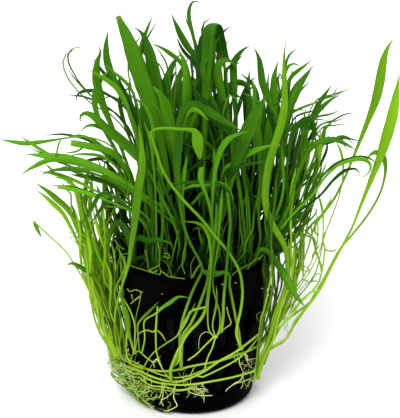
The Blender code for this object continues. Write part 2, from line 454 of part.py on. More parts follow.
def stations(path, half, most):
    """The samples that hold the leaf's form within 0.5 mm, root and tip among them."""
    form = np.column_stack([path, 1.3 * half])
    keep = {0, len(path) - 1}
    while len(keep) < most:
        order = sorted(keep)
        worst, where = 0.5, None
        for a, b in zip(order, order[1:]):
            if b - a < 2:
                continue
            chord = form[b] - form[a]
            share = np.clip((form[a + 1:b] - form[a]) @ chord / (chord @ chord), 0, 1)
            off = np.linalg.norm(form[a + 1:b] - form[a] - share[:, None] * chord, axis=1)
            if off.max() > worst:
                worst, where = off.max(), a + 1 + int(off.argmax())
        if where is None:
            break
        keep.add(where)
    return sorted(keep)


def shell(path, ways, along, half, thick, at, more=0.0):
    """A four-sided solid through the chosen samples, grown by more on every side."""
    ring = []
    for k in at:
        side = ways[k] * (half[k] + more)
        face = np.cross(along[k], ways[k]) * (thick[k] + more)
        ring += [path[k] + side, path[k] + face, path[k] - side, path[k] - face]
    if more:
        ring[-4:] = [v + along[at[-1]] * more for v in ring[-4:]]
    faces = [(3, 2, 1, 0)]
    for a in range(0, 4 * (len(at) - 1), 4):
        for k in range(4):
            n = (k + 1) % 4
            faces += [(a + k, a + n, a + n + 4), (a + k, a + n + 4, a + k + 4)]
    last = 4 * (len(at) - 1)
    faces.append((last, last + 1, last + 2, last + 3))
    if not more and half[at[-1]] < 0.2:
        tip = path[at[-1]]
        ring = ring[:-4] + [tip]
        faces = [f for f in faces if max(f) < last] + [(last - 4 + k, last - 4 + (k + 1) % 4, last)
                                                       for k in range(4)]
    return [tuple(v) for v in ring], faces


GROWN = []


def box_of(points):
    points = np.array(points)
    return points.min(axis=0), points.max(axis=0)


def remember(node, points, faces):
    low, high = box_of(points)
    GROWN.append((node, low, high, BVHTree.FromPolygons(points, faces)))


def meets(node, points, faces, own=False):
    """Whether a mesh crosses one already grown, of this node if own is set, otherwise of another."""
    low, high = box_of(points)
    tree = None
    for name, other_low, other_high, other in GROWN:
        if (name == node) != own or (low > other_high).any() or (high < other_low).any():
            continue
        tree = tree or BVHTree.FromPolygons(points, faces)
        if tree.overlap(other):
            return True
    return False


def beyond(at, path, away):
    """The leaf's stations from the sample that is this far from the root."""
    first = int((np.linalg.norm(path - path[0], axis=1) > away).argmax())
    return [first] + [k for k in at if k > first]


def fits(node, path, widest, habit, number, most, apart):
    """The leaf's solid if it stands clear of everything grown before it, otherwise None."""
    roll = roll_of(path, number, widest)
    half, thick, _ = girth(path, widest / max(0.7, math.cos(roll)), habit)
    along, ways = wide_ways(path, roll)
    at = stations(path, half, most)
    if meets(node, *shell(path, ways, along, half, thick, at, GAP)):
        return None
    if apart and meets(node, *shell(path, ways, along, half, thick, beyond(at, path, apart), GAP), True):
        return None
    return shell(path, ways, along, half, thick, at)


def ways_to_lean():
    """Shifts of the tip and bows of the middle, the smallest first."""
    pairs = [(tip, bow) for tip in range(-16, 17, 2) for bow in range(-10, 11, 2)]
    return sorted(pairs, key=lambda p: abs(p[0]) + 1.3 * abs(p[1]))


LEANS = ways_to_lean()


def foot_of(root, number, off):
    """The leaf's own place in its crown, so that no two leaves start in the same point."""
    return root + off * np.array((math.cos(2.4 * number), math.sin(2.4 * number), 0.4 * math.sin(1.3 * number)))


def grow(node, leaf, root, number, clear=0.0, most=8):
    """A leaf along its line, leaned to the nearest depth where it meets nothing else."""
    widest, tip_forward, line = leaf[:3]
    line = line if node.startswith("plantlet") else line[1:]
    root = foot_of(root, number, 0.12 if node.startswith("runner") else 0.45)
    habit = habit_of(leaf)
    for apart in (5.0, 12.0, 0.0) if node.startswith("runner") else (14.0, 24.0, 0.0):
        for tip, bow in LEANS:
            if clear and bow < 0:
                continue
            path = path_of(line, root, tip_forward + tip, bow, clear and clear + 0.15 * bow)
            made = fits(node, path, widest, habit, number, most, apart)
            if made:
                remember(node, *made)
                return made
    print("no room for leaf", number, "of", node)
    return None


def object_of(name, points, faces, colour, rough):
    mesh = bpy.data.meshes.new(name)
    mesh.from_pydata([Vector(p) * MM for p in points], [], [tuple(f) for f in faces])
    work = bmesh.new()
    work.from_mesh(mesh)
    bmesh.ops.recalc_face_normals(work, faces=work.faces)
    work.to_mesh(mesh)
    work.free()
    obj = bpy.data.objects.new(name, mesh)
    bpy.context.scene.collection.objects.link(obj)
    mesh.shade_smooth()
    mesh.set_sharp_from_angle(angle=CREASE)
    paint = bpy.data.materials.new(name)
    paint.use_nodes = True
    look = paint.node_tree.nodes["Principled BSDF"]
    look.inputs["Base Color"].default_value = (*colour, 1)
    look.inputs["Roughness"].default_value = rough
    mesh.materials.append(paint)
    return obj


def drop_flecks(mesh):
    """Takes away closed scraps that a union leaves, all but the body with the most vertices."""
    work = bmesh.new()
    work.from_mesh(mesh)
    bodies, left = [], set(work.verts)
    while left:
        body, edge = set(), [left.pop()]
        while edge:
            vert = edge.pop()
            body.add(vert)
            near = {e.other_vert(vert) for e in vert.link_edges} & left
            left -= near
            edge += near
        bodies.append(body)
    for body in sorted(bodies, key=len)[:-1]:
        bmesh.ops.delete(work, geom=list(body), context="VERTS")
    work.to_mesh(mesh)
    work.free()


def grown_as_one(name, pieces, colour, rough=0.45):
    """One solid from overlapping ones: the first piece, with the others joined to it in turn."""
    obj = object_of(name, *pieces[0], colour, rough)
    for points, faces in pieces[1:]:
        other = object_of("piece", points, faces, colour, rough)
        union = obj.modifiers.new("Grown together", "BOOLEAN")
        union.operation, union.solver, union.object = "UNION", "MANIFOLD", other
        whole = bpy.data.meshes.new_from_object(obj.evaluated_get(bpy.context.evaluated_depsgraph_get()))
        obj.modifiers.clear()
        old, obj.data = obj.data, whole
        bpy.data.meshes.remove(old)
        paint, mesh = other.data.materials[0], other.data
        bpy.data.objects.remove(other)
        bpy.data.meshes.remove(mesh)
        bpy.data.materials.remove(paint)
    drop_flecks(obj.data)
    return obj


def crown(centre, radius=CROWN_RADIUS):
    """A small low lump with six sides, from which the leaves rise."""
    rings = [(-0.75, 0.85), (0.6, 0.75)]
    turn = np.linspace(0, 2 * np.pi, 6, endpoint=False)
    points = [centre + radius * np.array((r * math.cos(t), r * math.sin(t), h)) for h, r in rings for t in turn]
    faces = [tuple(range(5, -1, -1)), tuple(range(6, 12))]
    faces += [(k, (k + 1) % 6, 6 + (k + 1) % 6, 6 + k) for k in range(6)]
    return [tuple(p) for p in points], faces


def tube(path, radius, sides=4, taper=1.0):
    """A round stem through the points that hold its form, thinner at its end by taper."""
    half = np.linspace(radius, radius * taper, len(path))
    along, ways = wide_ways(path, 0.0)
    at = stations(path, half, 12)
    points = []
    for k in at:
        other = np.cross(along[k], ways[k])
        points += [path[k] + half[k] * (math.cos(t) * ways[k] + math.sin(t) * other)
                   for t in np.linspace(0, 2 * np.pi, sides, endpoint=False)]
    faces = [tuple(range(sides - 1, -1, -1)), tuple(range(len(points) - sides, len(points)))]
    faces += [(a + k, a + (k + 1) % sides, a + sides + (k + 1) % sides, a + sides + k)
              for a in range(0, len(points) - sides, sides) for k in range(sides)]
    return [tuple(p) for p in points], faces


def pot():
    """A turned cup with a lip and rounded foot, its wall pierced by two tiers of upright slots."""
    def out_at(z):
        return WALL_FOOT_RADIUS + (WALL_TOP_RADIUS - WALL_FOOT_RADIUS) * (z - FOOT_ROUND) / (POT_HEIGHT - FOOT_ROUND)

    under = POT_HEIGHT - LIP_THICK
    turn = [math.radians(a) for a in (90, 55, 25, 0)]
    outer = [(WALL_FOOT_RADIUS - FOOT_ROUND * (1 - math.cos(a)), FOOT_ROUND * (1 - math.sin(a))) for a in turn]
    levels = [z for tier in SLOT_TIERS for z in tier]
    outer += [(out_at(z), z) for z in levels] + [(out_at(under), under)]
    lip = [(LIP_RADIUS, under), (LIP_RADIUS, POT_HEIGHT - 0.5), (LIP_RADIUS - 0.5, POT_HEIGHT),
           (out_at(POT_HEIGHT) - WALL + 0.3, POT_HEIGHT)]
    inner = [(out_at(z) - WALL, z) for z in [under] + levels[::-1]] + [(out_at(FOOT_ROUND) - WALL - 0.6, FLOOR + 0.8),
                                                                     (out_at(FOOT_ROUND) - WALL - 1.8, FLOOR)]
    profile = outer + lip + inner
    columns = 3 * SLOTS
    points = [(r * math.cos(2 * math.pi * c / columns), r * math.sin(2 * math.pi * c / columns), z)
              for r, z in profile for c in range(columns)]
    first_out, first_in = len(outer) - 5, len(outer) + len(lip) + 1
    out_rows = (first_out, first_out + 2)
    in_rows = (first_in + 2, first_in)
    faces = [tuple(range(columns - 1, -1, -1)), tuple(range(len(points) - columns, len(points)))]
    for row in range(len(profile) - 1):
        for c in range(columns):
            if c % 3 == 0 and row in out_rows + in_rows:
                continue
            n = (c + 1) % columns
            faces.append((row * columns + c, row * columns + n, (row + 1) * columns + n, (row + 1) * columns + c))
    for c in range(0, columns, 3):
        n = c + 1
        for out_row, in_row in zip(out_rows, in_rows):
            a, b = out_row * columns, (out_row + 1) * columns
            d, e = (in_row + 1) * columns, in_row * columns
            faces += [(a + c, a + n, d + n, d + c), (b + n, b + c, e + c, e + n),
                      (b + c, a + c, d + c, e + c), (a + n, b + n, e + n, d + n)]
    return points, faces


def medium_height(x, y):
    """The medium's surface: low, uneven mounds that fall towards the wall."""
    fall = 0.7 * (x * x + y * y) / 22.0**2
    return MEDIUM_TOP - fall + 0.45 * np.sin(0.55 * x + 1.1) * np.cos(0.47 * y) + 0.25 * np.sin(0.9 * y - 0.4 * x)


def growing_medium():
    """The plug that fills the pot, a gap inside its wall and floor."""
    def radius_at(z):
        return WALL_FOOT_RADIUS + (WALL_TOP_RADIUS - WALL_FOOT_RADIUS) * (z - FOOT_ROUND) / (
            POT_HEIGHT - FOOT_ROUND) - WALL - GAP

    sides = 30
    turn = [2 * math.pi * k / sides for k in range(sides)]
    facet = 1 / math.cos(math.pi / sides) * math.cos(math.pi / (3 * SLOTS))
    rings = [(radius_at(FOOT_ROUND) - 2.0, FLOOR + GAP), (radius_at(FOOT_ROUND) - 0.5, FLOOR + 1.6), (radius_at(21), 21.0)]
    points = [(r * math.cos(t) * facet * 0.985, r * math.sin(t) * facet * 0.985, z) for r, z in rings for t in turn]
    for share in (1.0, 0.72, 0.4):
        r = radius_at(44.5) * share * 0.985
        points += [(r * math.cos(t), r * math.sin(t), float(medium_height(r * math.cos(t), r * math.sin(t)))
                    - (0.8 if share == 1.0 else 0)) for t in turn]
    faces = [tuple(range(sides - 1, -1, -1))]
    faces += [(a + k, a + (k + 1) % sides, a + sides + (k + 1) % sides, a + sides + k)
              for a in range(0, 5 * sides, sides) for k in range(sides)]
    points.append((0.0, 0.0, float(medium_height(0, 0))))
    faces += [(5 * sides + k, 5 * sides + (k + 1) % sides, 6 * sides) for k in range(sides)]
    return points, faces


def root_mat():
    """The crescent of matted roots low on the pot's left, thickest at the runner's end."""
    across = np.linspace(math.radians(146), math.radians(235), 11)
    points, faces = [], []
    for k, turn in enumerate(across):
        swell = math.sin(math.pi * k / 10) ** 0.6
        for part in range(6):
            a = 2 * math.pi * part / 6
            high = 4.8 + (0.6 + 3.0 * swell) * math.sin(a) + 0.4 * math.sin(2.1 * k)
            thick = 0.5 + 1.25 * swell
            wall = WALL_FOOT_RADIUS + 0.116 * (high - FOOT_ROUND) + (0.35 if high > 1.5 else -0.4)
            r = wall + GAP + thick * (1 + math.cos(a)) + 0.25 * math.sin(1.7 * k + part) * swell * (1 + math.cos(a))
            points.append((r * math.cos(turn), r * math.sin(turn), max(0.5, high)))
    for a in range(0, 60, 6):
        faces += [(a + k, a + (k + 1) % 6, a + 6 + (k + 1) % 6, a + 6 + k) for k in range(6)]
    faces += [(5, 4, 3, 2, 1, 0), tuple(range(60, 66))]
    return points, faces


def nearest(paths, spot):
    """The point of these paths that is seen nearest to a spot on the sheet."""
    every = np.vstack(paths)
    return every[np.linalg.norm(seen(every) - np.array(spot[:2]), axis=1).argmin()]


def stem_path(line, clear, start=None):
    """A creeping stem that lies along the pot's wall."""
    flat = curve(line, SAMPLES)
    forward = np.full(SAMPLES, 0.0)
    for _ in range(6):
        points = seen_at(flat[:, 0], flat[:, 1], forward)
        need = wall_forward(points[:, 0], points[:, 2], clear)
        forward = np.where(need > -90, need, np.maximum(forward - 1.0, 0.0))
        forward[1:-1] = (forward[:-2] + forward[1:-1] + forward[2:]) / 3
    points = seen_at(flat[:, 0], flat[:, 1], forward)
    if start is not None:
        points[0] = start
        points[1] = (points[0] + points[2]) / 2
    return points


def arch(root, heading, lean, bend, length):
    """A leaf that leans from upright towards its heading and bends over along its length."""
    angle = lean + bend * np.linspace(0, 1, SAMPLES) ** 1.5
    step = length / (SAMPLES - 1)
    out = np.concatenate([[0], np.cumsum(np.sin(angle[:-1]) * step)])
    up = np.concatenate([[0], np.cumsum(np.cos(angle[:-1]) * step)])
    return root + np.column_stack([out * math.cos(heading), out * math.sin(heading), up])


def inside_screen(path):
    spots = seen(path)
    edge = np.array(SCREEN, float)
    hits = np.zeros(len(spots), bool)
    for (ax, ay), (bx, by) in zip(edge, np.roll(edge, -1, axis=0)):
        cross = (ay > spots[:, 1]) != (by > spots[:, 1])
        with np.errstate(divide="ignore", invalid="ignore"):
            at = ax + (spots[:, 1] - ay) * (bx - ax) / (by - ay)
        hits ^= cross & (spots[:, 0] < at)
    return hits.all()


def leaf_behind(node, root, number, dice, low=False):
    """A leaf at the back, tried with one habit after another until it stays hidden from the front and meets nothing."""
    for _ in range(160):
        heading = math.radians(dice.uniform(25, 155))
        lean = math.radians(dice.uniform(4, 20) if not low else dice.uniform(2, 12))
        bend = math.radians(dice.uniform(15, 115))
        length = dice.uniform(48, 92)
        widest = dice.choice((1.3, 1.8, 2.4, 3.0, 3.8))
        path = arch(foot_of(root, number, 0.45), heading, lean, bend, length)
        if not inside_screen(path) or (low and (wall_behind(path) > 0).any()):
            continue
        half, thick, _ = girth(path, widest, habit_of((widest,)))
        along, _ = wide_ways(path, 0.0)
        turn = dice.uniform(-0.5, 0.5)
        flat = np.array((-math.sin(heading), math.cos(heading), 0.0))
        rise = np.cross(along, flat)
        ways = unit(math.cos(turn) * flat + math.sin(turn) * rise)
        ways = unit(ways - (ways * along).sum(axis=1)[:, None] * along)
        at = stations(path, half, 5)
        if meets(node, *shell(path, ways, along, half, thick, at, GAP)):
            continue
        far = beyond(at, path, 12.0)
        if meets(node, *shell(path, ways, along, half, thick, far, GAP), True):
            continue
        made = shell(path, ways, along, half, thick, at)
        remember(node, *made)
        return made
    return None


def wall_behind(path):
    """How far points are inside the pot's lip, or not above it."""
    radius = np.hypot(path[:, 0], path[:, 1])
    taper = WALL_FOOT_RADIUS + 0.115 * np.clip(path[:, 2] - 3, 0, 47)
    lip = np.where(path[:, 2] > 44, LIP_RADIUS, taper)
    return np.where(path[:, 2] < POT_HEIGHT + 1, lip + 0.9 - radius, -1.0)


def rooted(across, forward):
    """The centre of a crown that rests on the medium."""
    y = -forward
    return np.array((across, y, float(medium_height(across, y)) + GAP + 1.25 * CROWN_RADIUS))


def side_crown(turn, height, out):
    """The centre of a crown beside the pot, at this direction in degrees, this far off the wall."""
    r = WALL_FOOT_RADIUS + 0.115 * height + out + CROWN_RADIUS
    return np.array((r * math.cos(math.radians(turn)), r * math.sin(math.radians(turn)), height))


def main():
    for obj in list(bpy.data.objects):
        bpy.data.objects.remove(obj)
    object_of("pot", *pot(), BLACK, 0.4)
    object_of("growing_medium", *growing_medium(), PEAT, 0.95)
    object_of("root_mat", *root_mat(), ROOT, 0.7)
    remember("pot", *pot())
    remember("growing_medium", *growing_medium())
    remember("root_mat", *root_mat())

    crowns = {f"plantlet_{k + 1:02d}": rooted(*where) for k, (where, _) in enumerate(POTTED)}
    sides = {"side_left": (LEFT, (191, 174, 157), (13, 12.5, 12.5), (1, 2, 3, 1, 2, 2, 3, 3, 1, 2, 3, 1)),
             "side_right": (RIGHT, (-24, -2, 20), (8.5, 9.5, 11), (1, 2, 2, 3, 3, 1, 3, 2, 1, 3, 2, 1))}
    for name, (_, turns, heights, _) in sides.items():
        for k in range(3):
            crowns[f"{name}_{k + 1}"] = side_crown(turns[k], heights[k], SIDE_CROWN_OUT[name])
    behind = []
    for k in range(260):
        r, turn = 20.6 * math.sqrt((k + 0.5) / 260), 2.399963 * k
        spot = rooted(r * math.cos(turn), -r * math.sin(turn))
        if spot[1] > 3 and min(np.linalg.norm(spot - other) for other in crowns.values()) > 4.7:
            crowns[f"plantlet_{len(POTTED) + len(behind) + 1:02d}"] = spot
            behind.append(spot)
    for name, centre in crowns.items():
        remember(name, *crown(centre))

    stems = {}
    for name, clear in (("high", 0.95), ("low", 2.4)):
        paths = []
        for k, (width, line) in enumerate(RUNNERS[name]):
            start = nearest(paths, line[0]) if k and not (name == "low" and k == 0) else None
            paths.append(stem_path(line, clear + (0.25 * k if name == "low" and k > 1 else 0), start))
        stems[name] = paths
        for path, (width, _) in zip(paths, RUNNERS[name]):
            remember(f"runner_{'upper' if name == 'high' else 'lower'}", *tube(path, width / 2 + 0.1))
        for spot in JOINTS[name]:
            remember(f"runner_{'upper' if name == 'high' else 'lower'}", *crown(nearest(paths, spot), 1.1))

    number = 0
    made = {name: [crown(centre)] for name, centre in crowns.items()}
    for name, stem, leaves in (("runner_upper", "high", FRONT_HIGH), ("runner_lower", "low", FRONT_LOW)):
        made[name] = [tube(path, 0.45 * width) for path, (width, _) in zip(stems[stem], RUNNERS[stem])]
        joints = [nearest(stems[stem], spot) for spot in JOINTS[stem]]
        made[name] += [crown(joint, 1.0) for joint in joints]
        for leaf in leaves:
            number += 1
            root = nearest([nearest(stems[stem], leaf[2][0])] + joints, leaf[2][0])
            near = min(joints, key=lambda joint: np.linalg.norm(joint - root))
            root = near if np.linalg.norm(near - root) < 2.5 else root
            made[name].append(grow(name, leaf, root, number, 1.3 if stem == "high" else 1.9, 11))
    for line in ROOTS:
        root = nearest(stems["low"], line[0])
        made["runner_lower"].append(tube(stem_path(line, 0.75, root), 0.28, 3, 0.7))
    for name, (leaves, _, _, crown_of) in sides.items():
        for k, leaf in enumerate(leaves):
            number += 1
            node = f"{name}_{crown_of[k]}"
            made[node].append(grow(node, leaf, crowns[node], number, 0.0 if node.endswith("3") else 0.9, 9))
    for k, (_, leaves) in enumerate(POTTED):
        node = f"plantlet_{k + 1:02d}"
        for leaf in leaves:
            number += 1
            made[node].append(grow(node, leaf, crowns[node], number))
    dice = random.Random(7)
    for k in range(len(behind)):
        node = f"plantlet_{len(POTTED) + k + 1:02d}"
        for _ in range(4):
            number += 1
            made[node].append(leaf_behind(node, crowns[node], number, dice))

    for name, pieces in made.items():
        pieces = [piece for piece in pieces if piece]
        if name.startswith("runner") or len(pieces) > 1:
            grown_as_one(name, pieces, STEM if name.startswith("runner") else LEAF)


main()
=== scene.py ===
"""Looks of a potted lilaeopsis novae-zelandiae: fine leaves, runners, roots, medium and pot round the solids.

The foot's centre is the origin, +Z is up and -Y is the front. Lengths in the tables and in the functions
that place and shape the plant are millimetres; a finished mesh is in metres. Each leaf is a line read on a
sheet square to the line of sight, 22 degrees above level, and its depth is found in the solid it belongs to.
"""

import math
import random

import bpy
import numpy as np
from mathutils import Matrix
from mathutils.bvhtree import BVHTree


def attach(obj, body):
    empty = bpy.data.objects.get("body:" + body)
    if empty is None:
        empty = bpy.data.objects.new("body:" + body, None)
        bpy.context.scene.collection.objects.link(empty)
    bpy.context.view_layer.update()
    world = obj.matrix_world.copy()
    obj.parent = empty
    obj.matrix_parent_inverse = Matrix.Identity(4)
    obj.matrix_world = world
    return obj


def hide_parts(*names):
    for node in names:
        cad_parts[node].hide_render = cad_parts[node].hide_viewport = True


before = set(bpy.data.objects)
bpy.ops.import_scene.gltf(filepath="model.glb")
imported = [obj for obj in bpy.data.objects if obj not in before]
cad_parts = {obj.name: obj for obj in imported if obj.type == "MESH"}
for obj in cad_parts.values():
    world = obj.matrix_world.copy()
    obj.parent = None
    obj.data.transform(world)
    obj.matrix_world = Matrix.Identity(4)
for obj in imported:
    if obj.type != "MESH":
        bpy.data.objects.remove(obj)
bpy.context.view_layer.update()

MM = 0.001
# The pot, with the plug of medium in it and the crowns on and beside it.
POT_HEIGHT = 50.0
LIP_RADIUS = 26.0
LIP_THICK = 1.5
WALL_TOP_RADIUS = 24.8
WALL_FOOT_RADIUS = 19.4
FOOT_ROUND = 3.0
WALL = 1.2
FLOOR = 1.4
SLOT_TIERS = ((7.0, 19.5), (23.0, 35.5))
SLOTS = 16
SLOT_COLUMNS, COLUMNS_EACH = 3, 9  # quads across a slot, and from one slot to the next
MEDIUM_TOP = 46.0
GAP = 0.3  # between the medium and what it touches
CROWN_RADIUS = 1.5
SIDE_CROWN_OUT = {"side_left": 1.7, "side_right": 0.5}
# As paths go round it: the height over which the wall widens, where its lip starts and over what height that eases,
# how much further out a crown or a root is for each millimetre up, and what stands for no wall at all.
WALL_RISE, LIP_FROM, LIP_EASE = 44, 43, 4
CROWN_SLOPE, ROOT_SLOPE = 0.115, 0.116
BESIDE = -99.0
# The line of sight, and the sheet square to it on which the leaves' lines are read.
SIGHT_UP = math.radians(22.0)
SIGHT_FROM = 550.0
SIGHT_AT = np.array((2.2, 0.0, 62.6))
SHEET_AT = (2.2, 57.3)
RIGHT_WAY = np.array((1.0, 0.0, 0.0))
UP_WAY = np.array((0.0, math.sin(SIGHT_UP), math.cos(SIGHT_UP)))
BACK_WAY = np.array((0.0, -math.cos(SIGHT_UP), math.sin(SIGHT_UP)))
EYE = SIGHT_AT + SIGHT_FROM * BACK_WAY
# How paths are led: their points, the rounds in which a leaf's and a stem's are pushed clear of the wall and
# smoothed, the angle from one leaf of a crown to the next, and how far from its crown's middle a leaf starts.
SAMPLES = 44
LEAF_ROUNDS, STEM_ROUNDS = 5, 6
SPIRAL = 2.4
JOINT_FOOT, CROWN_FOOT = 0.12, 0.45
# How blades are drawn: leaves above this width count as broad, and leaves numbered above this one are the
# neighbours, of which there are hundreds. Then the points along a broad and a thin blade, those that one of many does
# without, and the points round a broad blade, a thin one, and a thin one of many.
BROAD = 1.2
ONE_OF_MANY = 1000
BROAD_STATIONS, THIN_STATIONS, SPARED_STATIONS = 64, 48, 14
BROAD_RING, THIN_RING, FINE_RING = 12, 8, 6
SPACING = 0.34  # between two veins of a blade
GRAIN_STEP = 3.7  # from one leaf's streaks to the next one's
# A leaf's foot swells by this share over this length, its edge ripples and rises by these shares of the width, its
# tip is aged over this length, and by these shares where it is cut and where it isn't.
SHEATH, SHEATH_LONG = 0.2, 1.6
RIPPLE, CHANNEL = 0.05, 0.2
TIP_LONG, CUT_AGED, TIP_AGED = 3, 0.25, 0.17
# Outer leaves and the neighbours swing this far along the line of sight. An outer leaf that is wider than OVERLYING
# comes forward instead.
SWAY, BULGE, OVERLYING = 1.4, 2.4, 2.5
# What seeds the throws that are taken in a row: tints, hidden leaves, fine roots and granules.
TINT_SEED, HIDDEN_SEED, ROOT_SEED, GRANULE_SEED = 11, 7, 3, 5

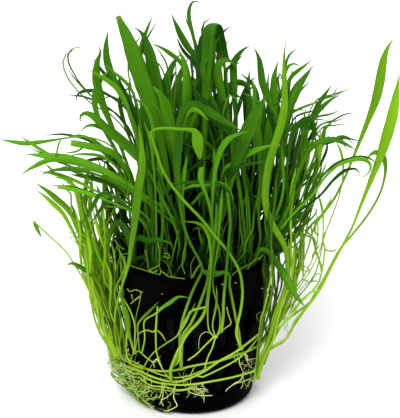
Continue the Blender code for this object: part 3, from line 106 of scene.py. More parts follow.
# Each plantlet: its crown (across, forward), then its leaves. Each leaf: width at its widest, forward of
# its tip, its line from the soil to the tip, and where it needs them its own "end" (cut square, or clipped
# off near its tip), its blade's "reach" and its "stalk", in millimetres. A third number in a point moves
# the leaf there forward of the straight way from root to tip.
POTTED = [
    ((-8, 3), [
        (5.4, -6, [(-7, 60), (-9.5, 76), (-12.6, 88), (-15.8, 97.2), (-19.4, 108), (-23.4, 117.4)],
         {"end": "clipped"}),
        (4.4, -20, [(-8, 60), (-9.5, 78), (-11, 92), (-12.6, 101), (-14.1, 108), (-15.9, 112), (-18.2, 113.8)]),
        (3.7, 2, [(-4.5, 60), (-5.2, 72), (-6.6, 82), (-8.2, 88.5), (-10.2, 93), (-12.4, 95.4)], {"reach": 20}),
    ]),
    ((-13, 8), [
        (2.5, -8, [(-13, 62), (-17, 80), (-21, 90), (-24.5, 97), (-26.7, 103), (-27.1, 108), (-26.5, 112.7)]),
        (2.2, -14, [(-14, 64), (-18, 82), (-21, 92), (-22.6, 96.5), (-23.4, 99.3)]),
        (1.7, 10, [(-15, 62), (-17, 76), (-20, 88), (-23, 94), (-26.5, 97.2), (-29.5, 99), (-32.2, 100.8)]),
    ]),
    ((-17, 3), [
        (2.7, 4, [(-18, 62), (-21.5, 74), (-24.8, 82), (-27.3, 88), (-29, 93), (-30, 98), (-29.8, 103), (-28.8, 106),
         (-29.3, 108.1)]),
        (1.5, 6, [(-18, 64), (-21, 72), (-26, 77.2), (-30.5, 79.2), (-36, 79.8), (-42, 79), (-48, 78.1), (-52, 77.7),
         (-56, 78.2), (-60, 79)], {"stalk": 0.5}),
    ]),
    ((-6, 17), [
        (2.5, 24, [(-4.7, 41), (-4.2, 47), (-6.8, 55), (-9.8, 61), (-13.5, 68.5), (-19, 74.5), (-24, 79.5),
         (-28, 83.5), (-31, 86.2), (-33.5, 87.2), (-35.2, 86.2), (-34.8, 84.2)]),
        (1.6, 20, [(-2.9, 41), (-2.5, 45), (-2.3, 48), (-3, 56), (-3.4, 64), (-1.8, 74)]),
    ]),
    ((-2, 10), [
        (2.9, 14, [(-4, 51), (-9, 57.5), (-13, 60), (-17, 62.8), (-21, 65.5), (-25, 68), (-30, 70.3), (-36, 72.2),
         (-42, 73.4), (-47, 74), (-52, 74.4)]),
        (1.6, 24, [(-4, 50), (-10, 56), (-17, 61.5), (-24, 66), (-30, 69.5), (-36, 71.5), (-42, 72.6), (-46, 72.1),
         (-49, 70.7), (-51.5, 69.4), (-53.4, 68)]),
    ]),
    ((-12, 14), [
        (1.3, 12, [(-13, 52), (-17, 57), (-22, 60), (-27, 61.5), (-31, 63.3), (-35, 65.4), (-39, 67), (-43, 68.3),
         (-48, 69)]),
        (1.3, 20, [(-14, 50), (-17.5, 55), (-22, 58), (-25, 59.3), (-29, 60.8), (-34, 62.5), (-38, 63.5),
         (-42.2, 64.2)], {"end": "cut"}),
        (1.5, 26, [(-14, 51), (-18, 56), (-23, 60), (-27, 62), (-29, 61.8), (-30.3, 60), (-32.5, 56), (-35.2, 51.9)]),
    ]),
    ((-18.5, 8.5), [
        (1.1, 10, [(-19, 58), (-26, 67.5), (-34, 71.6), (-40, 73.2), (-44, 74), (-47.5, 75.8), (-50.5, 77.8),
         (-53.8, 80)]),
        (2.2, 2, [(-18, 58), (-20, 68), (-24, 74), (-28, 76), (-33, 77.1), (-38, 78)], {"end": "cut"}),
        (1, 16, [(-20, 60), (-23, 69), (-27, 73), (-30, 74.1), (-35, 74.4), (-38.5, 73.9)]),
    ]),
    ((-10, -4), [
        (1.3, -22, [(-12, 70), (-15, 88), (-17, 100), (-16.3, 107.5), (-15, 111.3), (-13.8, 114.5), (-12.6, 117.2)]),
        (0.7, -12, [(-14, 75), (-18, 86), (-19.6, 93), (-20.1, 95.5), (-19.1, 98.5)]),
    ]),
    ((-16, -6), [
        (0.6, -10, [(-17, 70), (-19, 80), (-24, 86.9), (-28, 89.3), (-32, 93), (-35.5, 97), (-37.8, 100.8),
         (-39, 104), (-38.5, 106.2), (-36.8, 107.6), (-34.1, 107.4)]),
        (1.2, -16, [(-16, 72), (-18, 82), (-20.5, 88), (-24, 91.3), (-28, 93.6), (-31, 94.2), (-34, 94), (-36, 93),
         (-36.3, 91)]),
    ]),
    ((-4, -3), [
        (2.6, 22, [(-5, 65), (-5, 80), (-3, 88), (0, 89.9), (4, 88), (8, 85.6), (12, 83.3), (15, 81.8)]),
        (1.5, -16, [(-3, 75), (-1, 90), (-1.5, 98), (-4, 103), (-7, 105.6), (-10, 107.6), (-12.6, 108.8)]),
        (3.4, -12, [(-2, 60), (-1.8, 78), (-1.7, 88), (-1.7, 95), (-2.2, 101), (-3.4, 104.8), (-4.8, 107.2)],
         {"reach": 24}),
        (3.8, -20, [(-6.5, 60), (-8.5, 76), (-9.4, 86), (-9, 93), (-7.8, 98.5), (-5.9, 103), (-3.6, 105.8)],
         {"reach": 24}),
        (0.6, -8, [(-6, 80), (-7, 95), (-8.2, 102.3), (-9.3, 104.5), (-10.5, 106.6), (-12, 108.3)]),
    ]),
    ((-2, -11), [
        (2.2, -30, [(1, 75), (3.5, 88), (3.3, 98), (1.2, 104), (-1.5, 107.5), (-3.6, 111), (-5.2, 114.5),
         (-6.8, 118.1)]),
    ]),
    ((2, -5), [
        (1.5, -20, [(1.5, 70), (1.8, 90), (1.3, 102), (0.7, 108), (-0.1, 112), (-1, 116), (-1.2, 119), (-0.3, 121.6),
         (0.8, 122.2), (2.1, 121.4)]),
    ]),
    ((4, 3), [
        (3.9, -10, [(3.3, 60), (3.6, 80), (3.9, 92), (4.3, 102), (4.8, 108), (5, 112.5), (6, 115, -2.5),
         (7.3, 113.5, -4.2), (8.4, 109.5, -4.6), (9.6, 104, -4.6)], {"end": "cut"}),
        (1.4, -22, [(7, 70), (9, 88), (10, 99), (9, 106), (8.4, 110.5), (9.6, 112.6), (11.8, 114.2)]),
    ]),
    ((9, -4), [
        (2.8, -6, [(11, 70), (11, 84), (9.3, 91), (8, 97), (7.6, 101.3), (9.5, 103.6), (12, 103.3), (13.2, 101.3)]),
        (2.6, -24, [(9, 70), (9.5, 85), (10.5, 93.5), (13, 96.4), (16, 96.2), (17.6, 93.5)]),
    ]),
    ((12, 3), [
        (2.4, -8, [(12, 60), (13.4, 80), (12.9, 92), (12.6, 99), (12.6, 102.6), (14, 105.3), (16, 107.2),
         (17.7, 108.2)]),
        (0.5, 10, [(9, 80), (11, 92), (13.8, 91.3), (16.5, 90.5)]),
    ]),
    ((16, -3), [
        (2.4, -26, [(17, 70), (17.6, 86), (17, 94), (17.4, 98), (17.6, 100.6)]),
        (1.6, 4, [(19, 72), (19.2, 86), (19.3, 92), (18.9, 95.8), (18.2, 98)]),
    ]),
    ((21, 4), [
        (2.2, 4, [(25, 62), (27.5, 75), (26.8, 84.2), (25, 87.8), (23, 92), (21.6, 96.8), (21.1, 100.5), (20.6, 104),
         (19.1, 107.6)]),
        (1.9, -6, [(27, 66), (29, 78), (29.8, 86), (31.2, 92.5), (33.3, 95.8), (35.3, 98.8), (37.5, 102)]),
    ]),
    ((15.5, -6.5), [
        (4.2, -20, [(20, 62), (23.5, 78), (25.2, 87), (25.2, 94), (25.4, 99), (26.6, 103.5)]),
        (0.9, -26, [(24, 80), (28, 95), (28.8, 101), (29.6, 104.6), (31, 106.3), (32.8, 107.4)]),
        (1, -14, [(25, 78), (28, 92), (28.6, 99), (29.7, 101.8), (31.2, 102.6), (32.6, 102.3), (33.7, 101.4)]),
    ]),
    ((21.1, -2.9), [
        (1.4, -20, [(25, 72), (28, 88), (29.2, 95), (30.6, 98.4), (32.5, 100.2), (34.8, 101.9), (36.9, 103.8)]),
        (0.5, 6, [(27, 76), (29, 85), (30.5, 89), (31.8, 90.2), (32.8, 92.3), (33.8, 94.1)]),
        (0.9, -12, [(27, 70), (28.5, 81), (30, 86.2), (33, 88.4), (37, 90), (38.7, 90.7), (40, 91.6)]),
    ]),
    ((6, 18), [
        (4.4, 20, [(7, 44), (8.3, 52), (10.2, 59), (11.6, 66), (13.4, 72), (15.5, 78), (18, 84), (20.5, 88.5),
         (22.8, 92.8)], {"reach": 21, "stalk": 1.5}),
        (2.3, 26, [(2.9, 43.2), (3.2, 45.5), (3.6, 48.2)]),
    ]),
    ((3, 13), [
        (1.9, 22, [(5.8, 50), (6, 58), (6.4, 66), (7.3, 71.5), (8.8, 76), (11, 79), (14, 80.6), (17, 81.5)]),
        (2.4, 27, [(6, 50), (5.4, 57), (4.2, 61.5), (2.8, 65.5), (2.5, 68), (2.8, 70.3)], {"end": "cut"}),
    ]),
    ((7, 9), [
        (1.8, 18, [(8, 60), (9.5, 69), (12.5, 71.6), (15.5, 73.6), (19, 75.5), (22, 76.5), (24.8, 77.4)]),
    ]),
    ((10.5, 16), [
        (1.6, 27, [(11, 44), (11.8, 49), (12.4, 54), (12.5, 59), (11.6, 62.8), (9.5, 65), (6.5, 65.2), (2, 64.9),
         (-1, 64.3), (-3.3, 63.2)]),
        (1.8, 28, [(9, 50), (8.3, 57), (7, 62.3), (5, 63.6), (3, 62.2), (1, 60.3), (-0.8, 58.7)]),
    ]),
    ((14.5, 14.5), [
        (2, 12, [(14.2, 41.5), (15.6, 48), (15.4, 56), (14.4, 64), (13, 72), (12.6, 84)]),
        (2, 2, [(15.5, 41), (17.4, 48), (17.5, 55), (16.8, 62), (15.6, 70), (16.5, 84)]),
    ]),
    ((18, 12), [
        (2.2, 4, [(18.2, 44), (18.5, 50), (19.3, 57), (20.8, 63), (21, 70), (20.5, 80), (20, 88)]),
        (2, 10, [(19.5, 42.8), (21, 48), (20.5, 54), (20.6, 59.5), (21.7, 64), (22.3, 72), (23, 84)]),
        (2.4, 28, [(20.5, 44), (22.5, 44.5), (24.5, 42.7), (26.5, 40), (28.3, 37), (30, 33.8), (31.8, 30.8),
         (33.5, 28.5), (35, 26.8)]),
    ]),
    ((19.6, -8.2), [
        (1.6, -20, [(28, 68), (34, 80), (37.5, 87), (39.5, 90.8), (41.5, 93.5), (43.2, 96)]),
        (0.6, -26, [(30, 70), (38, 88), (40.3, 91.3), (42.5, 92.3), (44.3, 93.8), (45.1, 96.2)]),
        (1.5, -14, [(30, 68), (36, 82), (38.5, 87), (41, 89.8), (43.5, 91.7), (45.9, 92.8)]),
    ]),
    ((19.7, 8.1), [
        (2.4, 8, [(27.5, 60), (29.5, 72), (30.5, 79), (32.3, 83), (34.8, 84.9), (37, 84.4), (37.7, 81.5),
         (37.3, 78)]),
        (1.7, 16, [(29, 56), (31.8, 66), (35, 73.5), (38.5, 77.8), (41.5, 78.6), (44, 79.2), (47, 77.9),
         (50.6, 75.8)]),
        (1.5, 22, [(28, 52), (33, 57.5), (37.5, 62), (41, 67), (45, 70.8), (49, 72.3), (52, 72.8), (54.3, 72.2),
         (55.4, 70.4), (54.4, 68.2), (52.4, 67)]),
    ]),
    ((15.8, -14.3), [
        (0.9, -28, [(28, 66), (34, 78), (37, 84.8), (39.5, 86.2), (42.5, 86.8), (44, 87.3), (45.8, 88.2)]),
        (0.6, -24, [(28, 64), (35, 76), (39.5, 83.2), (43, 84.6), (46, 86.2), (48.5, 87.1), (51, 87.1)]),
        (1.4, -20, [(29, 60), (36, 68), (39.8, 76), (41, 82), (42.7, 83.8), (44.1, 85.3)]),
    ]),
    ((-17.5, 12.4), [
        (1.5, 21, [(-19.3, 40), (-17.8, 41.5), (-15, 42.1), (-12, 42.3), (-9.5, 42), (-7.5, 40.8), (-6, 39.2)]),
        (2.3, 20, [(-18.3, 45), (-17.2, 48.4), (-14, 47.6), (-11, 47.8), (-8, 47), (-6.3, 46)]),
    ]),
    ((-11.4, 18), [
        (2, 18, [(-12.4, 43), (-12.2, 48), (-12.5, 56), (-13.5, 66), (-14.5, 78)]),
        (2, 14, [(-10.3, 44), (-9.5, 50), (-9.5, 56), (-10, 64), (-11, 76)]),
        (1, 22, [(-11.6, 60), (-12.4, 72), (-13.3, 79), (-15.2, 84.2)]),
    ]),
    ((14, -10), [
        (0.6, -16, [(30, 70), (36, 76), (41, 78), (44.3, 79.4), (46, 80.1), (48, 79.8), (50.5, 78.2)]),
    ]),
]
LEFT = [
    (1.9, 6, [(-24, 11), (-27, 20), (-29.3, 28), (-31.2, 36), (-31.9, 42), (-33.8, 47.5), (-36, 52.3), (-39, 57.3),
     (-42.5, 60.5), (-45.2, 62.8), (-48.8, 65.3)]),
    (2, 4, [(-23.5, 11), (-26.5, 24), (-29, 33), (-31, 43), (-33, 51), (-35, 57), (-36.3, 62.5), (-38, 65.3),
     (-40.5, 66.7), (-44, 67.4)]),
    (1.5, 0, [(-23.5, 11), (-28, 30), (-30.5, 40), (-32.5, 50), (-33.6, 60), (-33, 67), (-32.2, 72)]),
    (1.7, 8, [(-24, 11), (-28.5, 24), (-31.5, 30), (-34.5, 36), (-37.3, 40.6), (-40, 44.5), (-44, 48.2), (-48, 52),
     (-49.9, 53.6), (-48.8, 51.5), (-47.3, 48.7)]),
    (1, 12, [(-23, 11), (-27, 28), (-29.5, 34.5), (-32, 37.3), (-35, 39.2), (-37.5, 40.4), (-39, 40)]),
    (1.3, 2, [(-23, 11), (-25.5, 26), (-27.5, 36), (-29, 44), (-31, 51), (-32.2, 58), (-31.5, 63), (-31.8, 68)]),
    (1.4, 0, [(-22.5, 11), (-24.5, 24), (-26, 33), (-27.3, 41), (-28.3, 48), (-28.2, 54), (-27.8, 60), (-27, 66),
     (-26, 72)]),
    (1.2, 2, [(-22, 11), (-24, 24), (-25, 33), (-26, 42), (-26.6, 50), (-26.5, 58), (-25.5, 64)]),
    (2.7, 14, [(-22.5, 11), (-25.5, 30), (-27, 40), (-26.5, 46), (-25.3, 50.8), (-23.3, 53), (-21.5, 51.5),
     (-20.3, 48), (-19.6, 44)]),
    (0.8, 8, [(-23.5, 11), (-27.5, 30), (-30, 38), (-31.5, 45), (-34.5, 49.6), (-38, 50), (-39.7, 49.4)]),
    (1.2, 6, [(-22.5, 11), (-26, 28), (-28.5, 36), (-29.5, 44), (-28.5, 50), (-25.5, 55), (-23.5, 60), (-22.8, 66),
     (-23.4, 72)]),
    (2.6, 16, [(-22, 11), (-24.3, 20), (-24, 26), (-22.8, 31), (-21.3, 36), (-20, 40.5), (-19.4, 45), (-18.6, 50),
     (-18, 55), (-17.5, 60), (-16.8, 65), (-16, 70), (-16, 76), (-17, 84)]),
]
RIGHT = [
    (2.1, 14, [(19.5, 8), (22.5, 13.5), (24, 18), (25.6, 23), (27.5, 28), (29, 34), (29.6, 40), (28.6, 45.5),
     (26, 50.3), (23.8, 54.5), (22.7, 58.5), (22.6, 63), (23.2, 68.5), (24.3, 73.5), (25.9, 78.5), (27.6, 84),
     (28.6, 90), (28.5, 97), (28.4, 104), (28.9, 110)]),
    (3.4, 12, [(20, 8), (25, 16.5), (28.5, 22), (33, 25.5), (37, 28.7), (40, 33), (43, 39), (46.8, 46.3), (49.8, 52),
     (52.5, 59), (55.5, 66.5), (58.2, 73.3), (60.5, 80.5), (62, 86), (63.2, 92), (64.3, 99)]),
    (1.4, 8, [(20.5, 9), (24, 13.5), (28.8, 16.6), (32, 22), (36, 27.5), (40.5, 35), (45, 43.5), (48.5, 48),
     (52, 52.2), (55.5, 57), (58.2, 62), (59.7, 67), (60, 71.5), (58.6, 74.6), (56.2, 74.9), (54.5, 73.3)]),
    (3, 4, [(21, 10), (26, 23), (29, 28), (31.5, 33), (33.5, 40), (34, 46), (36, 51.3), (40, 55.3), (44, 60.5),
     (47.5, 67.5), (51, 76), (54, 83.5), (56.8, 91), (58.2, 97), (59.2, 103), (60.5, 107.2), (62.2, 110)]),
    (0.9, 6, [(21, 10), (28, 24), (33, 30), (37.5, 36), (39.5, 42), (41, 49), (43.5, 55.5), (45.6, 61.5),
     (46.6, 66.5), (46.8, 71), (46, 75.5), (44.3, 79)]),
    (1, 16, [(21, 13), (21.5, 22.2), (22.8, 25), (23.8, 28), (24.6, 32), (25, 36), (24.7, 40), (24.3, 45), (24.5, 52),
     (25.5, 60), (26, 68)]),
    (2, -2, [(21, 11), (27, 22), (30, 27), (32, 34), (33, 40), (33.5, 46), (34.5, 52), (36.2, 58), (37.5, 64),
     (38.5, 70), (39.5, 76), (39.7, 82)]),
    (1.6, -4, [(21, 12), (28, 26), (30.5, 34), (31.5, 42), (31.8, 50), (32.5, 58), (33.8, 66), (35.5, 72),
     (36.6, 79)]),
    (1.1, 8, [(21.5, 12), (26, 20), (31, 32), (35.5, 44), (38, 52), (41, 56.5), (42.5, 59.3), (43.6, 61.8)]),
    (0.8, 0, [(22, 13), (28, 30), (31, 42), (33, 52), (36, 58.5), (39, 64), (40.3, 68.5), (42.1, 72.4)]),
    (0.8, 6, [(21.5, 12), (30, 28), (36.5, 38), (40, 46), (40.6, 53), (40.3, 57), (39.5, 60.5), (38.5, 64)]),
    (1.5, 10, [(21, 11), (25.5, 21), (28.4, 30), (30, 38), (30.6, 46), (30.4, 54), (30.8, 62), (32, 70)]),
]
FRONT_HIGH = [
    (2.6, 18, [(-3.7, 9.5), (-4, 13), (-4.1, 17), (-3.8, 20), (-3, 23.5), (-1.5, 28), (0, 32), (1.7, 35.5), (3, 38.5),
     (1.2, 42.8), (-0.6, 46), (-2.2, 50), (-3.3, 54), (-4, 58), (-4.5, 63), (-5, 69), (-4.9, 74), (-4, 79),
     (-2.4, 85)]),
    (1.4, -4, [(-3.7, 10), (-3.2, 17.5), (-1, 21), (0.7, 24.5), (2.2, 28), (3.3, 31), (4.3, 34), (5, 38), (5.6, 44),
     (5.5, 50), (6, 56), (5.8, 62), (6, 70)], {"reach": 6, "stalk": 1.0}),
    (1.3, 8, [(-18, 12.5), (-18.1, 16), (-18.1, 21), (-19.3, 25), (-21.2, 28.6), (-23.4, 31.8), (-25.6, 35.3),
     (-28, 39.5), (-30, 44), (-32, 50)]),
    (1.7, 10, [(-18.5, 12.5), (-19.9, 18.5), (-20.1, 22), (-21, 25), (-21.9, 28), (-22.6, 32)]),
    (0.6, 20, [(-18, 12.5), (-17, 18), (-15.5, 19.2), (-13.8, 19.5), (-12.6, 19), (-11.5, 20), (-11.3, 23.5),
     (-11, 26.8)]),
    (1.2, 20, [(-16, 12), (-15, 17), (-15.3, 21.5), (-14.3, 23.2), (-11.6, 24.7), (-9.6, 26.5), (-7, 28.2),
     (-4.5, 29.9), (-1.3, 29.7)]),
    (0.9, 18, [(-17, 12), (-17.2, 20.5), (-16, 23), (-14, 25), (-12, 27), (-10.7, 28.5)]),
    (0.8, 21, [(-15, 8.5), (-14, 10.3), (-12, 12.8), (-9, 15), (-5.5, 17.3), (-4.3, 18.9), (-2.5, 22.5), (-0.3, 25.5),
     (0.7, 28.2)]),
]
FRONT_LOW = [
    (2.2, 29, [(15, 13.5), (14.3, 18.8), (13.6, 22), (12.9, 25.5), (12.1, 29.5), (11.4, 33.5), (11.4, 36.6),
     (10, 37.6), (7.5, 37), (4.8, 37.3), (2.6, 38.2)], {"reach": 6, "stalk": 0.9}),
    (3.6, 22, [(14, 13.5), (13.5, 18.5), (14, 22), (14.9, 26), (15.4, 30), (15.3, 33.5), (14.6, 37.5), (12.6, 41.5),
     (9.8, 45.5), (7, 48.6), (4.5, 52), (1.5, 55.4), (-2, 59), (-5, 62.5), (-7.7, 66.2), (-9.8, 70.3), (-11.2, 74.3),
     (-12.4, 78.5), (-13.3, 81.3), (-11, 82.3), (-7, 82.4), (-3, 82.1), (0, 81.9), (1.1, 80.2), (1.6, 77.5),
     (2.3, 72.8)], {"reach": 9, "stalk": 1.0}),
    (1.4, -4, [(-7.2, 5.5), (-6.9, 7.5), (-5.8, 9.5), (-4.2, 13), (-3, 16.5), (-1, 19.3), (1, 21.3), (2.8, 23.5),
     (4.1, 26.5), (4.7, 30), (5.1, 34), (5.7, 39), (6.2, 45), (7.2, 52), (7.4, 60), (7, 68), (6.5, 76)],
     {"reach": 6, "stalk": 1.0}),
    (1.4, 22, [(7, 17.5), (5.4, 18.8), (4.7, 21), (4.6, 25), (4.8, 29), (5.3, 33), (5.5, 38), (5.5, 44), (4.9, 48.8),
     (3.4, 51.8), (1, 53.1), (-2.7, 53.4)]),
    (1.7, 18, [(7, 17.5), (8, 19), (8.5, 22), (8.2, 25.5), (7.3, 28.7), (6.4, 32), (6.2, 36), (7, 41), (7.9, 46),
     (8, 50), (8.6, 57), (9.3, 65)]),
    (0.8, 24, [(7, 17.5), (6.1, 21), (6.7, 24.5), (7.3, 27.5), (7.4, 31), (7.2, 33.5)]),
    (1.4, 20, [(8.5, 18.8), (9.4, 24), (9.6, 30), (10, 34), (10.4, 38), (10.8, 43), (11.2, 48), (11.6, 53), (11, 60),
     (10, 68)]),
]
RUNNERS = {
    "high": [
        (1.1, [(-19.4, 8.9), (-18, 8.1), (-14, 7.3), (-10, 6.8), (-6, 7), (-2, 8), (2, 8.8), (6, 9.5), (10, 10.5),
         (14, 12), (17, 13), (20, 14.5), (22, 15.8)]),
        (0.7, [(-19.2, 9.2), (-18.8, 11.8), (-17, 13), (-14.5, 11), (-12.5, 9.5), (-12, 8)]),
    ],
    "low": [
        (1.1, [(-20, 8.5), (-16, 6.5), (-12, 4.8), (-8, 3.7), (-4, 3.6), (0, 5), (4, 7), (8, 9.8), (12, 12), (15, 14),
         (18, 16.3), (21, 18.8), (24, 21.3)]),
        (1, [(-18, 7), (-15, 5), (-12, 3.5), (-8, 2.8), (-4, 2.5), (0, 2.7), (4, 3.3), (8, 4), (12, 4.8), (15, 5.6),
         (18, 6.5), (19.5, 7.5)]),
        (0.8, [(3.6, 7.2), (4.6, 11), (6, 14), (7, 17.5)]),
        (0.8, [(6.8, 17.8), (3.5, 14.5), (1, 12), (-1.5, 10.2)]),
        (0.6, [(8.5, 18.8), (10.2, 20.3), (11.8, 21.7), (11, 24.5), (10.5, 26.8)]),
        (0.7, [(-16, 4), (-13, 2.3), (-9, 1.9), (-5, 1), (-2, 1.2), (0, 2)]),
    ],
}
# Where several leaves rise from one thickened joint of a runner.
JOINTS = {"high": [(-3.7, 8.2), (-18, 12.4)], "low": [(14.6, 13.6), (7, 17.5)]}
# The part of the front view that is closed by leaves or by the pot: leaves behind stay within it.
SCREEN = [(-20, 8), (-21, 70), (-16.5, 74), (-16.5, 84), (-19, 88), (-14, 96), (-8, 98), (0, 101), (8, 100), (12, 94),
 (13, 85), (23, 84), (26, 75), (27, 44), (19, 8)]
ROOTS = [
    [(-5.5, 2.4), (-5.8, 0.6), (-6, -0.8), (-5.8, -2), (-5.2, -3.2), (-5.1, -4.2), (-7.5, -5.4), (-9, -5.6)],
    [(-9, 2.6), (-9.3, 1), (-9.4, -1), (-9.8, -2.8), (-9.2, -4)],
    [(15.5, 5.7), (14.8, 4), (13, 3), (12, 2.2), (10.8, 1.3), (10.2, 0.5)],
]

# How fresh a leaf's green is, from deep at 0 to light at 1, where the picture tells it: by node and order. Below 0
# the green darkens towards near black, which is painted shade.
TINTS = {
    "runner_upper": {0: 0.05, 1: 0.2, 6: 0.1}, "runner_lower": {0: 0.1, 1: 0.6, 2: 0.2, 6: 0.1},
    "side_left": {0: 0.4, 3: 0.8, 4: 0.0, 8: -0.3, 9: 0.9, 11: 0.3},
    "side_right": {0: 0.4, 1: 0.75, 2: 0.45, 3: 0.55, 5: -0.4},
    "plantlet_01": {0: 0.4, 1: 0.25, 2: 0.4}, "plantlet_03": {1: 0.8}, "plantlet_05": {0: 0.8, 1: 0.85},
    "plantlet_06": {0: 1.0, 1: 1.0, 2: 0.1}, "plantlet_07": {0: 0.9, 1: 0.7, 2: 0.9}, "plantlet_10": {0: 0.15},
    "plantlet_11": {0: 0.35}, "plantlet_12": {0: 0.35}, "plantlet_13": {0: 0.17, 1: 0.35}, "plantlet_18": {0: 0.4},
    "plantlet_20": {0: 0.2, 1: -0.7}, "plantlet_21": {0: 0.5, 1: 0.6}, "plantlet_22": {0: 0.7},
    "plantlet_25": {2: 0.55}, "plantlet_27": {0: 0.0, 2: 1.3}, "plantlet_29": {0: 0.05, 1: 0.1},
}
# The heights between which a stalk's pale colour fades upwards, the share of it that stays, how strongly painted
# shade darkens the green at the foot, and over what height that eases.
RUNNER_FADE = (32, 52, 0.15, 0, 9)
POT_FADE = (30, 60, 0.75, 1.3, 7)
DEEP_FADE = (30, 60, 0.75, 2.6, 10)
HIDDEN_FADE = (30, 56, 0.3, 4.0, 17)
WISP_FADE = (60, 90, 1.0, 1.2, 8)
FADES = {"side_left": (40, 64, 0.35, 0, 9), "side_right": (36, 62, 0.3, 0, 9)}
# Finer neighbours: how many each outer leaf has. A leaf in the pot has two, unless it is short, or one or none in
# the plantlets named here, and one neighbour is left out because it would hide a gap.
KINDRED = {"side_left": (3, 5, 6, 0, 1, 4, 4, 3, 0, 3, 4, 0), "side_right": (0, 0, 0, 0, 0, 1, 0, 1, 0, 0, 1, 0)}
SPARSE = ("plantlet_06", "plantlet_21")
ALONE = ("plantlet_20", "plantlet_25", "plantlet_29", "plantlet_30")
DROPPED = (("plantlet_03", 0, 1),)
# Thin outer leaves that lie over their neighbours all the same: how far they come towards the eye.
OVER = {("side_left", 4): 5.0}
# Leaves with a width of their own, and with their own end, reach or stalk where they need it. A sudden one opens
# all at once from its stalk.
FINER = {
    "runner_lower": {0: (2.2, {"reach": 5, "stalk": 0.85}),
                     1: (4.0, {"reach": 8.3, "stalk": 0.85, "sudden": True}),
                     3: (1.2, {}), 4: (1.2, {}), 6: (1.0, {"stalk": 0.9})},
    "runner_upper": {0: (2.6, {"stalk": 0.9}), 1: (1.2, {"reach": 6, "stalk": 0.85}), 6: (0.95, {})},
    "side_left": {3: (2.9, {"reach": 4.6, "stalk": 0.5, "sudden": True}),
                  4: (1.5, {"end": "clipped", "reach": 9, "stalk": 0.55}),
                  8: (2.7, {"reach": 10.5, "stalk": 0.8}), 11: (2.8, {"reach": 27, "stalk": 0.7})},
    "side_right": {0: (2.6, {"reach": 44, "stalk": 1.45}), 2: (1.7, {"reach": 8, "stalk": 0.75}),
                   5: (0.8, {"stalk": 0.75}), 6: (2, {"stalk": 0.75}), 7: (1.5, {"stalk": 0.7}),
                   8: (1, {"stalk": 0.55}), 11: (1.5, {"stalk": 0.7})},
    "plantlet_01": {0: (5.4, {"reach": 31}), 1: (4.2, {"reach": 26}), 2: (3.5, {"reach": 13})},
    "plantlet_20": {1: (1.9, {})}, "plantlet_21": {1: (2.0, {"reach": 4.5, "stalk": 0.9})},
    "plantlet_27": {0: (1.9, {})}, "plantlet_29": {0: (1.6, {"reach": 14}), 1: (1.9, {"reach": 14})},
}
# The outer rosettes on each side: their leaves, the directions in degrees and the heights of their three crowns, and
# which crown each leaf grows from.
SIDES = {"side_left": (LEFT, (191, 174, 157), (13, 12.5, 12.5), (1, 2, 3, 1, 2, 2, 3, 3, 1, 2, 3, 1)),
         "side_right": (RIGHT, (-24, -2, 20), (8.5, 9.5, 11), (1, 2, 2, 3, 3, 1, 3, 2, 1, 3, 2, 1))}
# The solid runners: their bundle of stems, their leaves, and how clear of the wall their stems and leaves lie. Each
# of the low bundle's later stems lies a step further out. The fine runners lie this clear, the next a step more.
CREEPERS = {"runner_upper": ("high", FRONT_HIGH, 0.95, 1.3), "runner_lower": ("low", FRONT_LOW, 2.4, 1.9)}
STEM_STEP, FINE_CLEAR, FINE_STEP = 0.25, 1.6, 0.35
# Where more plantlets stand behind: on so many spots of a spiral, out to this radius, and no nearer to the front or
# to another crown than this.
SPOTS, SPOTS_OUT, GOLDEN_ANGLE = 260, 20.6, 2.399963
BEHIND_FROM, CROWNS_APART = 3, 4.7
HIDDEN_LEAVES = 4  # that each of them may have
# A leaf whose root is seen nearer than this to a joint starts from the joint.
JOINT_REACH = 2.5
# Crowns further back than this have deep shade at their leaves' feet.
DEEP_FROM = -8
# How far neighbours drift from their leaf, beside the pot and in it. In it, a leaf that ends below this on the sheet
# has none, and those of a leaf that ends nearer the middle than this are shaded.
SIDE_SPREAD, POT_SPREAD = 2.6, 5.0
SHORT_LEAF, INNER = 60, 36
# Leaves that fill the pot, dark with painted shade: on crowns from this far back, so many on those behind and on
# those before, each with so many tries to stay within the screen.
FILLED_FROM, BACK_FILLERS, FRONT_FILLERS, FILLER_TRIES = -6, 9, 3, 40
